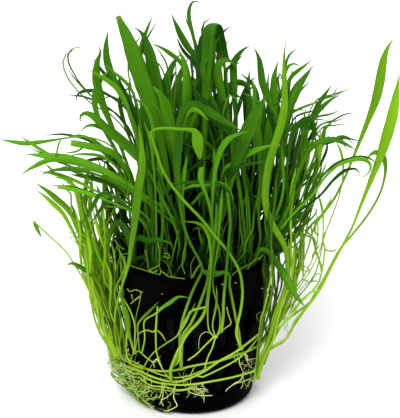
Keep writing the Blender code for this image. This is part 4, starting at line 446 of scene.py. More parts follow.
# Sheaves of thin upright leaves. Each: node, how many, the span and height of their feet on the sheet and how
# clear of the wall they stay, the span of their tops across and up, and the spans of width and tint.
SHEAVES = [
    # This sheaf's tints lie below zero: painted shade, dark leaves at the pot's right edge that stand for the shade
    # there.
    ("side_right_1", 12, (21, 24, 16, 0.9), (22.5, 27, 40, 52), (0.6, 1.1), (-1.6, -0.6)),
    ("side_right_2", 2, (24, 31, 26, 0), (31, 41, 52, 76), (0.5, 0.8), (0.1, 0.9)),
    ("side_right_3", 2, (25, 32, 28, 0), (32, 42, 54, 80), (0.5, 0.8), (-0.1, 0.8)),
    ("plantlet_27", 7, (23.5, 27, 43, 0), (28, 39, 50, 66), (0.6, 1.1), (-0.2, 0.8)),
    ("plantlet_19", 6, (23, 27, 44, 0), (28, 40, 52, 68), (0.6, 1.1), (-0.2, 0.8)),
    ("plantlet_17", 8, (23, 26, 48, 0), (27, 38, 60, 90), (0.7, 1.4), (0.0, 0.9)),
    ("plantlet_19", 8, (24, 28, 50, 0), (28, 40, 64, 88), (0.7, 1.3), (-0.2, 0.9)),
    ("plantlet_27", 8, (24, 28, 48, 0), (28, 41, 60, 84), (0.7, 1.3), (-0.2, 0.9)),
    ("plantlet_26", 9, (23, 27, 44, 0), (28, 40, 52, 78), (0.6, 1.1), (0.0, 1.1)),
    ("plantlet_28", 5, (23, 28, 52, 0), (29, 41, 66, 86), (0.8, 1.4), (-0.6, 0.5)),
    ("side_left_1", 12, (-28, -22.5, 19, 0.9), (-34.5, -27.5, 40, 60), (0.7, 1.2), (0.5, 1.3)),
    ("side_left_1", 6, (-28.6, -27, 20, 0.9), (-35.5, -33.4, 46, 57), (0.7, 1.1), (0.4, 1.2)),
    ("side_left_1", 8, (-23.8, -21.8, 14, 0.9), (-25, -22.6, 34, 46), (0.6, 1.0), (-0.9, 0.2)),
    ("plantlet_09", 9, (-21, -15, 46, 0), (-27, -19, 56, 70), (0.6, 1.3), (-0.9, 0.3)),
    ("plantlet_03", 8, (-21, -16, 46, 0), (-30, -19, 62, 76), (0.6, 1.3), (-0.8, 0.4)),
    ("plantlet_09", 6, (-22, -17, 46, 0), (-32, -23, 60, 74), (0.6, 1.2), (-0.5, 0.6)),
    ("side_left_2", 9, (-28, -22.5, 20, 0), (-37, -28.5, 46, 68), (0.7, 1.2), (0.5, 1.3)),
]
# Loose strands. Each: node, width, how far forward its far end comes, how clear of the wall it stays, tint,
# and its line on the sheet from the leaf or stem that it leaves.
STRANDS = [
    ("plantlet_05", 0.6, 1, 0, 0.8, [(-42.2, 73.8), (-42, 76.8), (-41.5, 78.3), (-40.8, 79.5)]),
    ("plantlet_07", 0.6, 2, 0, 0.7, [(-34, 76.8), (-35.5, 75.6), (-37.5, 75), (-40, 74.8)]),
    ("plantlet_07", 0.6, 2, 0, 0.6, [(-35, 72), (-36, 69), (-36.2, 67)]),
    ("plantlet_06", 0.6, -2, 0, 0.8, [(-31, 65), (-33.5, 67.7), (-37.5, 69), (-40.5, 71.5)]),
    ("side_left_1", 0.6, 2, 0, 0.8, [(-37.1, 56), (-38, 61.5), (-39, 63), (-41.5, 66.5)]),
    ("plantlet_06", 0.6, 1, 0, 0.9, [(-43, 68), (-44.3, 69.8), (-46, 71.5)]),
    ("plantlet_18", 0.8, 0, 0, 0.9, [(13.8, 40.5), (14.2, 42), (14.9, 44.5), (15.5, 47.5), (15.5, 53), (15.2, 61)]),
    ("plantlet_18", 0.7, 1, 0, 0.8, [(15.2, 40.3), (16.8, 44), (17.4, 47), (17.8, 54), (17.5, 58), (17, 62),
     (16.2, 66)]),
    ("plantlet_19", 0.7, 1, 0, 0.8, [(16, 39.3), (17.4, 40.8), (18.2, 43), (18.5, 46), (19, 54), (19.6, 58),
     (20.2, 62), (20.5, 66)]),
    ("plantlet_19", 0.8, 2, 0, 0.9, [(19.4, 42), (20.3, 44), (21, 46), (21.1, 48), (20.8, 51), (20.5, 54), (20.7, 57),
     (21.2, 60)]),
    ("plantlet_12", 0.7, 3, 0, 0.7, [(-0.8, 50), (0.5, 51.2), (2, 51.2), (3.2, 50.3)]),
    ("plantlet_10", 1.0, 2, 0, 0.6, [(-3.3, 63), (-1, 64), (1, 64.6), (2.5, 64.8)]),
    ("side_right_2", 0.5, 1, 0, 0.6, [(40.4, 56), (40.2, 58), (39.7, 60), (39.2, 62.3)]),
    ("plantlet_24", 0.7, 3, 0, 0.4, [(14.2, 58.7), (16, 59.9), (18, 60.8), (20, 61.3), (21.5, 61.5)]),
    ("runner_lower", 0.7, 0, 1.6, 0.5, [(10.2, 33), (9.7, 30), (9.4, 27), (9.7, 24)]),
    ("runner_lower", 0.7, 0, 1.4, 0.6, [(0.6, 28), (-0.5, 25.5), (-1.8, 23), (-3, 20.5), (-4, 18.8)]),
    ("runner_lower", 0.9, 0, 1.4, 0.8, [(-4, 15), (-4.8, 13), (-5.8, 10.5), (-6.8, 8), (-7.3, 6), (-7, 4.5)]),
    ("runner_lower", 0.7, 0, 1.6, 0.8, [(-4, 14), (-4, 11.5), (-4.7, 9.5), (-5.8, 8.2)]),
    ("runner_upper", 0.5, 0, 1.0, 0.6, [(-11, 26.7), (-11.3, 24), (-11.6, 19.8), (-11.5, 15), (-11.3, 12.5),
     (-10.6, 10.5), (-9.5, 8)]),
    ("runner_upper", 0.4, 0, 1.3, 0.6, [(-11, 19.8), (-9.8, 18.3), (-8.2, 15.7)]),
    ("side_right_1", 0.9, -2, 0.8, 0.9, [(20, 9.5), (24, 13.8), (26.5, 15.5), (29, 17), (30.5, 19.5), (32.5, 22.5),
     (34.5, 25.5), (36.5, 28), (38, 30), (39, 32)]),
    ("side_right_2", 0.7, 2, 0, 0.7, [(34.6, 50), (34.6, 47.7), (34.4, 41), (34.3, 34.6)]),
    ("side_right_2", 0.7, 2, 0, 0.7, [(32.6, 47), (32.6, 44.9), (33, 40.6), (32.2, 33.5), (31.5, 27.9),
     (29.4, 24.3)]),
    ("side_right_3", 0.7, 4, 0, 0.6, [(37.9, 50), (37.9, 47.7), (38.3, 44.1), (40.4, 39.2)]),
    ("side_right_3", 0.8, 6, 0, 0.8, [(40.4, 50), (40.4, 47.7), (41.1, 44.9), (40.4, 39.2), (39.7, 36), (38.9, 33.9),
     (37.5, 32.1), (34, 28.9), (31.5, 26.1), (29.1, 23.6)]),
    ("side_right_2", 0.6, 1, 0, 0.5, [(37.9, 48.5), (38, 50.5), (38.5, 53)]),
    ("side_right_2", 0.45, 1, 0, 0.4, [(36, 42.1), (37.4, 43.2), (38.3, 44.4), (39.9, 46.8)]),
    ("side_right_3", 0.55, 1, 0, 0.6, [(37.6, 51.6), (37.4, 47.7), (38.8, 43), (40, 38.4), (39.6, 34.5)]),
    ("side_right_3", 0.5, 2, 0, 0.8, [(41.1, 44.5), (43.4, 44.2), (45.4, 45.1)]),
    ("side_right_2", 0.4, 1, 0, 0.8, [(34.5, 35.3), (36.4, 34.6), (38, 34.9), (40.3, 34.5)]),
    ("side_right_1", 0.9, 3, 0, 0.9, [(39.9, 33.7), (36.4, 31), (33.4, 28.3), (31, 24.4), (27.9, 21.3), (26, 18)]),
    ("side_right_1", 0.6, 3, 0, 0.5, [(34.9, 27.1), (31.8, 22.4), (30.6, 19.7), (28.6, 17.5)]),
    ("side_right_2", 0.35, 1, 0, 0.8, [(31.2, 37.6), (33.5, 38.2), (36.9, 37.8)]),
    ("side_right_2", 0.35, 1, 0, 0.9, [(33.4, 37.8), (35, 39.4), (36.2, 38.4), (37, 36.6)]),
    ("side_right_3", 0.4, 1, 0, 0.9, [(36.4, 34.6), (37.6, 36.4), (39, 37.2), (40.4, 36)]),
    ("side_right_3", 0.6, 1, 0, 0.5, [(35, 49), (37, 48.3), (38.5, 48)]),
    ("side_right_1", 1.0, 2, 0.9, 0.9, [(18.8, 7), (20.6, 10.2), (22.3, 14.1), (23.7, 17.6), (24.8, 22.9),
     (26.6, 27.9), (28.3, 32.5), (29.1, 36), (30.1, 41.3), (29.8, 47.7)]),
    ("side_right_1", 1.0, 4, 1.8, 0.9, [(18.8, 6), (21.5, 9.5), (23.5, 13.5), (25.2, 17.6), (26.4, 22.5),
     (27.8, 27.5), (29.8, 33), (31, 38), (31.4, 46)]),
]
# Thin runners beside the solid ones: width, tint and line on the sheet.
FINE_RUNNERS = [
    (0.45, 1.0, [(-21, 11), (-16, 8.4), (-11, 6), (-6, 4.8), (-2, 5.2), (2, 6.6), (5.5, 8.4)]),
    (0.35, 1.2, [(-20, 6), (-17, 3.4), (-12, 1.4), (-7, 0.6), (-3, 0.8), (1, 1.6)]),
    (0.5, 0.8, [(2, 4.5), (7, 6.8), (12, 9.4), (16, 12.2), (19, 15.5), (21.5, 19.4)]),
    (0.65, 0.6, [(-17, 5.6), (-21.5, 7.4), (-24.6, 9.8), (-26.2, 13.8), (-27.8, 19.3), (-29, 25)]),
    (0.55, 1.0, [(-18.5, 6.6), (-22.5, 8), (-25, 11.5), (-26.6, 16.5), (-28, 22)]),
    (0.55, 0.8, [(-15, 6.6), (-20, 8), (-23.2, 10.4), (-25, 14.5), (-26, 20)]),
    (0.5, 0.5, [(-15, 7.4), (-19, 9), (-22, 11), (-23.5, 14.5), (-24, 20)]),
    (0.5, 0.8, [(-19, 9), (-20.4, 11), (-20.8, 14.5), (-20.4, 19)]),
]
# Bits of pale stem that cling to the pot's wall, and those that lie on its rim or stand on it: width, tint, line.
WALL_SHOOTS = [
    (0.35, 0.7, [(-20.4, 32.4), (-19.6, 31.6), (-17.8, 32.1), (-15.7, 31.3)]),
    (0.3, 0.0, [(-16.2, 31.3), (-16.4, 29.8), (-16.8, 27.4), (-17.5, 24.8), (-17.8, 22.5), (-17.6, 19)]),
    (0.5, 0.6, [(-16.6, 30), (-18, 29), (-19.4, 27.8)]),
    (0.3, 0.9, [(-19.1, 30.7), (-18.8, 29.2)]),
    (0.35, 1.4, [(9, 33.9), (9.4, 33.7)]),
    (0.3, 1.4, [(13.1, 34.4), (13.5, 34.2)]),
    (0.3, 1.3, [(21.4, 32.6), (21.8, 32.4)]),
    (0.25, 0.6, [(3.4, 31.6), (3.6, 31.2)]),
    (0.25, 0.3, [(-9.8, 30.9), (-9.4, 30.8)]),
]
RIM_SHOOTS = [
    (0.3, -0.4, [(-19.6, 39.9), (-18.1, 39.1), (-16.5, 38.7), (-14.2, 37.9), (-11.8, 37.2), (-10.3, 36.8)]),
    (0.32, -0.2, [(-10.3, 36.8), (-9.9, 37.9), (-8.7, 37.1), (-7.6, 36.3), (-5.6, 36), (-2.5, 35.5)]),
    (0.3, -0.5, [(-15, 44.5), (-14.4, 42.6), (-14.1, 40.4), (-14, 38.3)]),
    (0.3, -0.4, [(-10.9, 47), (-10.7, 45.7), (-10.3, 42.6), (-10.5, 39.9), (-9.9, 37.5)]),
    (0.28, -0.1, [(-13.4, 38.3), (-11.8, 39.1), (-10.3, 39.9)]),
    (0.28, -0.1, [(-13.8, 38.4), (-12.4, 37.6), (-11, 38.2)]),
    (0.3, -0.4, [(-9.1, 42.6), (-7.6, 42), (-7.2, 42.6), (-7.9, 43.4), (-9, 43.6)]),
    (0.26, -0.7, [(-6.4, 35.8), (-7.2, 38.3), (-7.9, 39.9), (-9, 41.2)]),
    (0.34, -0.7, [(-2.5, 37.1), (-3.3, 39.9), (-2.9, 43.8), (-2.1, 46.5)]),
    (0.24, -0.7, [(-0.5, 35.6), (-0.6, 39.9), (0.6, 42.6)]),
    (0.6, -0.6, [(-0.2, 36), (1, 38.3), (2.4, 40.2)]),
    (0.3, -0.2, [(-24.3, 47.7), (-23.5, 46.1), (-24.3, 44.5), (-24, 43.7)]),
    (0.3, -0.2, [(-23, 43), (-21.7, 43.2), (-20.4, 43.5)]),
    (0.3, -0.1, [(-22.2, 42.5), (-22.5, 40.7), (-22.2, 39.6)]),
    (0.26, -0.1, [(-21.2, 42.5), (-21.2, 40.9)]),
    (0.3, -0.2, [(-24, 47), (-22.6, 45.4), (-21.4, 44.8)]),
    (0.26, -0.5, [(12.2, 36.6), (14, 38.2), (17, 39.8), (20, 41.6)]),
    (0.26, -0.2, [(20.5, 41.5), (22, 43.4), (23.4, 45)]),
    (0.26, -0.6, [(17, 38.6), (18.6, 40.8), (20.4, 42.2)]),
]
# Thin pale shoots. Each: plantlet, how many, and the spans across and up of their tips on the sheet.
WISPS = [("plantlet_04", 5, (-9, 46), (-1, 62)), ("plantlet_29", 3, (-16, 44), (-8, 58)), ("plantlet_30", 4,
 (-14, 45), (-6, 60)), ("plantlet_06", 5, (-16, 46), (-10, 60)), ("plantlet_23", 5, (6, 46), (14, 60)),
 ("plantlet_24", 6, (12, 46), (18, 64)), ("plantlet_25", 6, (16, 46), (23, 64)), ("plantlet_20", 4, (2, 45), (9, 58))]
# White roots: width, and line on the sheet from the runner.
WHITE_ROOTS = [(0.44, line) for line in ROOTS] + [
    (0.4, [(-5.5, 2.4), (-6.5, 0.2), (-8, -1.2), (-9.6, -2.2), (-10.4, -3.6)]),
    (0.4, [(-9.5, 3), (-10.2, -0.9), (-11.5, -1.3), (-13.3, -1.8), (-14.5, -2.4), (-15.8, -2.3)]),
    (0.4, [(-11.2, 11), (-10.3, 9), (-9.2, 7), (-8, 5.2), (-7.3, 4.5)]),
    (0.35, [(15, 12), (14.4, 10.5), (14.5, 9), (15.1, 7.8), (15.7, 6.3)]),
    (0.35, [(16, 12.5), (17, 11.5), (16.8, 10.2), (17.5, 8.8), (18.3, 7.8)]),
    (0.35, [(17, 10.3), (18.5, 10.6), (19.8, 10.8)]),
    (0.4, [(19.2, 6.5), (19.2, 3.3), (17.8, 4.3), (16.5, 3.9), (15, 3.4), (13.5, 3), (12, 2.2)]),
    (0.22, [(6, 18.3), (4.1, 19), (2.6, 18.2), (1.9, 16.5), (1.8, 13.8)]),
    (0.35, [(-1, 1.2), (1, 1.2), (2.5, 1.3), (4.4, 1.1)]),
    (0.35, [(-2, 1.2), (-1, 0.3), (1, -0.5), (3.5, -0.8), (6, -0.8)]),
    (0.3, [(1, 2.7), (1.5, 1), (3, 0), (3.6, -2)]),
    (0.3, [(2.5, 3), (3.5, 1.5), (3, 0.4), (1.2, -0.2)]),
]


# ------------------------------------------------------------------ lines and paths

def unit(v):
    return v / np.linalg.norm(v, axis=-1, keepdims=True)


def stacked(*parts):
    """Points whose coordinates are these arrays, each spread over the grid of the others."""
    return np.stack(np.broadcast_arrays(*parts), axis=-1)


def length_along(path):
    return np.concatenate([[0], np.cumsum(np.linalg.norm(np.diff(path, axis=0), axis=1))])


def seen_at(across, up, forward):
    """The points at these depths that are seen at these places on the sheet."""
    across, up, forward = np.broadcast_arrays(np.asarray(across, float), up, forward)
    on_sheet = (SIGHT_AT + (across - SHEET_AT[0])[..., None] * RIGHT_WAY
                + (up - SHEET_AT[1])[..., None] * UP_WAY)
    ray = on_sheet - EYE
    return EYE + ray * ((-forward - EYE[1]) / ray[..., 1])[..., None]


def seen(point):
    """Where on the sheet a point is seen."""
    ray = np.asarray(point, float) - EYE
    ray = ray * (SIGHT_FROM / -(ray @ BACK_WAY))[..., None]
    off = EYE + ray - SIGHT_AT
    return np.stack([off @ RIGHT_WAY + SHEET_AT[0], off @ UP_WAY + SHEET_AT[1]], axis=-1)


def curve(points, count):
    """A smooth line through the points, as evenly spaced samples. Between two points it is a cubic whose slope at
    each is half the step from the point before to the point after."""
    p = np.array(points, float)
    p = np.vstack([2 * p[0] - p[1], p, 2 * p[-1] - p[-2]])
    t = np.linspace(0, 1, 10, endpoint=False)[:, None]
    out = [0.5 * (2 * b + (c - a) * t + (2 * a - 5 * b + 4 * c - d) * t**2 + (3 * b - a - 3 * c + d) * t**3)
           for a, b, c, d in zip(p, p[1:], p[2:], p[3:])]
    dense = np.vstack(out + [p[-2:-1]])
    run = length_along(dense)
    want = np.linspace(0, run[-1], count)
    return np.stack([np.interp(want, run, dense[:, k]) for k in range(dense.shape[1])], axis=-1)


def wall_radius(z):
    """The outer wall's radius at this height: straight from the foot's to the top's."""
    return WALL_FOOT_RADIUS + (WALL_TOP_RADIUS - WALL_FOOT_RADIUS) * (z - FOOT_ROUND) / (POT_HEIGHT - FOOT_ROUND)


def wall_forward(x, z, clear):
    """How far forward a point must be to stand clear of the pot there."""
    taper = WALL_FOOT_RADIUS + (WALL_TOP_RADIUS - WALL_FOOT_RADIUS) * np.clip((z - FOOT_ROUND) / WALL_RISE, 0, 1)
    lip = np.clip((z - LIP_FROM) / LIP_EASE, 0, 1)
    radius = taper + (LIP_RADIUS - taper) * lip + clear
    inside = (np.abs(x) < radius) & (z < POT_HEIGHT + clear)
    return np.where(inside, np.sqrt(np.maximum(radius**2 - x**2, 0)), BESIDE)


def path_of(line, root, tip_forward, bow, clear):
    """Points from the root to the tip that are seen on the line, their depth going from the root's to the tip's."""
    own = np.array([(0.0, 0.0, 0.0)] + [tuple(p) + (0.0,) * (3 - len(p)) for p in line])
    own[0, :2] = seen(root)
    flat = curve(own, SAMPLES)
    share = np.linspace(0, 1, SAMPLES)
    forward = -root[1] + (tip_forward + root[1]) * share + bow * np.sin(np.pi * share) + flat[:, 2]
    points = seen_at(flat[:, 0], flat[:, 1], forward)
    if clear:
        for turn in range(LEAF_ROUNDS):
            need = wall_forward(points[:, 0], points[:, 2], clear)
            forward = np.maximum(forward, need)
            if turn < LEAF_ROUNDS - 1:
                forward[1:-1] = np.maximum((forward[:-2] + forward[1:-1] + forward[2:]) / 3, need[1:-1])
            points = seen_at(flat[:, 0], flat[:, 1], forward)
    points[0] = root
    return points


def stem_path(line, clear, start=None):
    """A creeping stem that lies along the pot's wall."""
    flat = curve(line, SAMPLES)
    forward = np.zeros(SAMPLES)
    for _ in range(STEM_ROUNDS):
        points = seen_at(flat[:, 0], flat[:, 1], forward)
        need = wall_forward(points[:, 0], points[:, 2], clear)
        forward = np.where(need > BESIDE, need, np.maximum(forward - 1.0, 0.0))
        forward[1:-1] = (forward[:-2] + forward[1:-1] + forward[2:]) / 3
    points = seen_at(flat[:, 0], flat[:, 1], forward)
    if start is not None:
        points[0] = start
        points[1] = (points[0] + points[2]) / 2
    return points


def rim_path(line):
    """A shoot seen on this line, as far forward as the pot's rim is there: on it, or standing on it."""
    flat = curve(line, 40)
    return seen_at(flat[:, 0], flat[:, 1], np.sqrt(np.maximum(LIP_RADIUS**2 - flat[:, 0] ** 2, 0)))


def arch(root, heading, lean, bend, length):
    """A leaf that leans from upright towards its heading and bends over along its length."""
    angle = lean + bend * np.linspace(0, 1, SAMPLES) ** 1.5
    step = length / (SAMPLES - 1)
    out = np.concatenate([[0], np.cumsum(np.sin(angle[:-1]) * step)])
    up = np.concatenate([[0], np.cumsum(np.cos(angle[:-1]) * step)])
    return root + np.column_stack([out * math.cos(heading), out * math.sin(heading), up])


def sway(path, number):
    """The path swung a little towards the eye and away between its ends, so that neighbours don't run parallel."""
    s = np.linspace(0, 1, len(path))
    turns = 0.9 + 0.15 * (number % 5)
    swing = SWAY * np.sin(math.pi * s) * np.sin(2 * math.pi * turns * s + SPIRAL * number)
    return path + unit(path - EYE) * swing[:, None]


def bulge(path, most):
    """The path of a broad outer leaf, brought towards the eye between its ends, over its thin neighbours."""
    return path - unit(path - EYE) * (most * np.sin(math.pi * np.linspace(0, 1, len(path))))[:, None]


def nearest(paths, spot):
    """The point of these paths that is seen nearest to a spot on the sheet."""
    every = np.vstack(paths)
    return every[np.linalg.norm(seen(every) - np.array(spot[:2]), axis=1).argmin()]


def inside_screen(path):
    """Whether the whole path is seen within the screen: from each point, a level line crosses its edge an odd
    number of times."""
    spots = seen(path)
    edge = np.array(SCREEN, float)
    hits = np.zeros(len(spots), bool)
    for (ax, ay), (bx, by) in zip(edge, np.roll(edge, -1, axis=0)):
        cross = (ay > spots[:, 1]) != (by > spots[:, 1])
        with np.errstate(divide="ignore", invalid="ignore"):
            at = ax + (spots[:, 1] - ay) * (bx - ax) / (by - ay)
        hits ^= cross & (spots[:, 0] < at)
    return hits.all()


# ------------------------------------------------------------------ crowns and feet

def plantlet(k):
    return f"plantlet_{k + 1:02d}"


def in_pot(node):
    return node.startswith("plantlet")


def medium_height(x, y):
    """The medium's surface: low, uneven mounds that fall towards the wall."""
    fall = 0.7 * (x * x + y * y) / 22.0**2
    return MEDIUM_TOP - fall + 0.45 * np.sin(0.55 * x + 1.1) * np.cos(0.47 * y) + 0.25 * np.sin(0.9 * y - 0.4 * x)


def rooted(across, forward):
    """The centre of a crown that rests on the medium."""
    y = -forward
    return np.array((across, y, float(medium_height(across, y)) + GAP + 1.25 * CROWN_RADIUS))


def side_crown(turn, height, out):
    """The centre of a crown beside the pot, at this direction in degrees, this far off the wall."""
    r = WALL_FOOT_RADIUS + CROWN_SLOPE * height + out + CROWN_RADIUS
    return np.array((r * math.cos(math.radians(turn)), r * math.sin(math.radians(turn)), height))


def foot_of(root, number, off):
    """The leaf's own place in its crown, so that no two leaves start in the same point."""
    turn = SPIRAL * number
    return root + off * np.array((math.cos(turn), math.sin(turn), 0.4 * math.sin(1.3 * number)))


def free_line(node, line):
    """The points that lead a leaf: an outer leaf's first one only says where it leaves its crown."""
    return line if in_pot(node) else line[1:]


def wall_clear(node):
    """How clear of the wall an outer rosette's leaves stay: the third crown's pass beside it, not before it."""
    return 0.0 if node.endswith("3") else 0.9


# ------------------------------------------------------------------ blades and stems

def smooth(values, reach):
    """The values, each averaged with its neighbours by a bell of this reach."""
    bell = np.exp(-0.5 * (np.arange(-3 * reach, 3 * reach + 1) / reach) ** 2)
    return np.convolve(np.pad(values, 3 * reach, mode="edge"), bell / bell.sum(), mode="valid")


def habit_of(leaf):
    """How a leaf ends, how far its blade reaches and how thick its stalk is, as given or as usual."""
    widest, own = leaf[0], leaf[3] if len(leaf) > 3 else {}
    usual = {"end": "", "reach": 8 + 1.3 * widest**2, "stalk": min(widest, 0.3 + 0.38 * widest, 1.15)}
    return {**usual, **own}


def girth(path, widest, habit):
    """Half width and half thickness at each point, and how flat it is: a round stalk that opens into a blade."""
    from_tip = length_along(path[::-1])[::-1]
    share = from_tip / min(habit["reach"], 0.6 * from_tip[0])
    opening = np.interp(share, (0, 0.6, 0.85, 1.05, 1.3, 1.65, 2.1), (1, 1, 0.93, 0.75, 0.45, 0.18, 0))
    width = habit["stalk"] + (widest - habit["stalk"]) * opening
    ends = {"cut": (0.8, 0.85, 0.9, 0.95, 1, 1, 1), "clipped": (0.26, 0.32, 0.5, 0.75, 0.92, 1, 1)}
    width *= np.interp(share, (0, 0.04, 0.12, 0.26, 0.42, 0.6, 3),
                       ends.get(habit["end"], (0.02, 0.1, 0.3, 0.56, 0.82, 1, 1)))
    flat = np.clip((widest - habit["stalk"]) / 0.8, 0, 1) * opening
    thick = np.minimum((1 - flat) * 0.9 * habit["stalk"] + flat * (0.42 + 0.03 * widest), width)
    return width / 2, thick / 2, flat


def tongue_girth(path, widest, habit):
    """As girth, for a thin stalk that opens all at once into a short blade, widest at its start."""
    from_tip = length_along(path[::-1])[::-1]
    share = from_tip / habit["reach"]
    opening = np.interp(share, (0, 0.95, 1.1, 1.3), (1, 1, 0.35, 0))
    width = habit["stalk"] + (widest - habit["stalk"]) * opening
    width *= np.interp(share, (0, 0.1, 0.3, 0.6, 0.85, 1, 9), (0.05, 0.3, 0.58, 0.86, 0.98, 1, 1))
    return width / 2, np.minimum((1 - opening) * 0.9 * habit["stalk"] + opening * 0.45, width) / 2, opening


def wide_ways(path, roll):
    """The blade's sideways direction: square to the line of sight, rolled, and carried along without twist."""
    along = unit(np.gradient(path, axis=0))
    at = int(0.8 * len(path))
    side = unit(np.cross(along[at], BACK_WAY))
    facing = np.cross(side, along[at])
    start = math.cos(roll) * side + math.sin(roll) * facing
    ways = np.zeros_like(path)
    for order in (range(at, len(path)), range(at, -1, -1)):
        way = start
        for k in order:
            way = unit(way - (way @ along[k]) * along[k])
            ways[k] = way
    return along, ways


def roll_of(path, number, widest):
    """How far a leaf is turned from facing the front; leaves that arch sideways are turned the most."""
    flat = seen(path[int(0.55 * len(path)):])
    step = np.diff(flat, axis=0)
    angle = np.unwrap(np.arctan2(step[:, 1], step[:, 0]))
    most = 18 + 30 * min(1, (angle.max() - angle.min()) / 1.6)
    most = min(most, math.degrees(math.acos(min(1, widest / 4.9))) + 6)
    return math.radians(most) * (1 if number % 2 else -1) * (0.55 + 0.45 * math.cos(SPIRAL * number) ** 2)


def grain_of(across, run, number):
    """Where each point lies in its leaf's grain: in veins across, in millimetres along, and which leaf it is."""
    return stacked(across, run[:, None], np.full((len(run), 1), number * GRAIN_STEP))


def even_tone(count, tint=0.0, stalk=0.0):
    """The same tone at this many stations: tint, how much of a stalk it is, how aged, and one."""
    return np.tile((tint, stalk, 0.0, 1.0), (count, 1))


class Growth:
    """The skins that make up one piece, gathered as arrays, and the lines that its leaves and stems follow."""

    def __init__(self):
        self.points, self.faces, self.grain, self.tone, self.lines = [], [], [], [], []
        self.count = 0

    def add(self, points, faces, grain, tone):
        self.points.append(points)
        self.faces += [(np.asarray(f) + self.count) for f in faces]
        self.grain.append(grain)
        self.tone.append(tone)
        self.count += len(points)

    def skin(self, rings, grain, tone, ends=None):
        """A closed skin: rings of points one after another, each joined to the next, and a pole at each end.

        rings[s, t] is the point at station s and turn t; ends are the two poles, or else the rings' middles.
        """
        if ends is None:
            ends = np.array([rings[0].mean(axis=0), rings[-1].mean(axis=0)])
        stations, around = rings.shape[:2]
        k = np.arange(around)
        n = (k + 1) % around
        row = (np.arange(stations - 1) * around)[:, None]
        quads = np.stack([row + k, row + n, row + n + around, row + k + around], axis=-1).reshape(-1, 4)
        last = (stations - 1) * around
        first_pole, last_pole = stations * around, stations * around + 1
        fans = np.concatenate([np.stack([n, k, np.full(around, first_pole)], axis=-1),
                               np.stack([last + k, last + n, np.full(around, last_pole)], axis=-1)])
        points = np.vstack([rings.reshape(-1, 3), ends])
        grain = np.vstack([grain.reshape(-1, 3), grain[0].mean(axis=0), grain[-1].mean(axis=0)])
        tone = np.vstack([np.repeat(tone, around, axis=0), tone[0], tone[-1]])
        self.add(points, [quads, fans], grain, tone)

    def object(self, name, material):
        """The finished mesh, with its grain and tone, as an object at the origin."""
        mesh = bpy.data.meshes.new(name)
        points = np.concatenate(self.points) * MM
        mesh.vertices.add(len(points))
        mesh.vertices.foreach_set("co", points.astype(np.float32).ravel())
        corners = np.concatenate([f.ravel() for f in self.faces])
        sizes = np.concatenate([np.full(len(f), f.shape[1]) for f in self.faces])
        mesh.loops.add(len(corners))
        mesh.loops.foreach_set("vertex_index", corners.astype(np.int32))
        mesh.polygons.add(len(sizes))
        starts = np.concatenate([[0], np.cumsum(sizes)[:-1]])
        mesh.polygons.foreach_set("loop_start", starts.astype(np.int32))
        mesh.polygons.foreach_set("loop_total", sizes.astype(np.int32))
        mesh.polygons.foreach_set("use_smooth", np.ones(len(sizes), bool))
        mesh.update(calc_edges=True)
        mesh.validate()
        for label, values, kind, width, field in (("grain", self.grain, "FLOAT_VECTOR", 3, "vector"),
                                                  ("tone", self.tone, "FLOAT_COLOR", 4, "color")):
            layer = mesh.attributes.new(label, kind, "POINT")
            layer.data.foreach_set(field, np.concatenate(values)[:, :width].astype(np.float32).ravel())
        mesh.materials.append(material)
        obj = bpy.data.objects.new(name, mesh)
        bpy.context.scene.collection.objects.link(obj)
        return obj


def blade(growth, path, ways, along, widest, habit, tint, number, fade, around):
    """A leaf's skin. At station s and turn t: the path, plus sideways half the width times cos t, plus out of
    the face half the thickness times sin t, and a channel that lifts both edges by a share of the width.
    A stalk is paler than a blade; fade says between which heights that weakens upwards, and to what share, how
    strongly painted shade darkens the green at the foot, among its neighbours, and over what height that eases."""
    half, thick, flat = (tongue_girth if "sudden" in habit else girth)(path, widest, habit)
    half, flat = smooth(half, 1), smooth(flat, 2)
    run = length_along(path)
    thick = thick * (1 - 0.35 * flat)
    sheath = 1 + SHEATH * np.exp(-run / SHEATH_LONG)
    half, thick = half * sheath, thick * sheath
    ripple = 1 + RIPPLE * np.sin(run * 0.8 + 2.1 * number) * np.sin(run * 0.31 + number)
    face = np.cross(along, ways)
    turn = np.linspace(0, 2 * np.pi, around, endpoint=False)
    cos, sin = np.cos(turn), np.sin(turn)
    channel = CHANNEL * flat * half
    rise = thick[:, None] * sin + channel[:, None] * (np.abs(cos) ** 1.7 - 0.45)
    rings = (path[:, None] + ways[:, None] * ((half * ripple)[:, None] * cos)[..., None]
             + face[:, None] * rise[..., None])
    veins_across = max(3.0, widest / SPACING)
    start, end, stays, foot_shade, ease = fade
    stalk = (1 - smooth(flat, 3)) * np.interp(path[:, 2], (start, end), (1, stays))
    tip = np.clip((run - run[-1] + TIP_LONG) / TIP_LONG, 0, 1) * (CUT_AGED if habit["end"] else TIP_AGED)
    # Painted shade: the green is darkened at the foot, just above the medium, easing off upwards and along the leaf.
    shade = np.exp(-np.maximum(path[:, 2] - MEDIUM_TOP, 0) / ease) * np.interp(run / ease, (1.6, 3), (1, 0))
    tone = np.column_stack([tint - foot_shade * shade, stalk, tip, np.ones(len(path))])
    ends = np.array([path[0] - along[0] * 0.3, path[-1] + along[-1] * (0.02 if habit["end"] else 0.1)])
    growth.skin(rings, grain_of(0.5 * veins_across * cos, run, number), tone, ends)


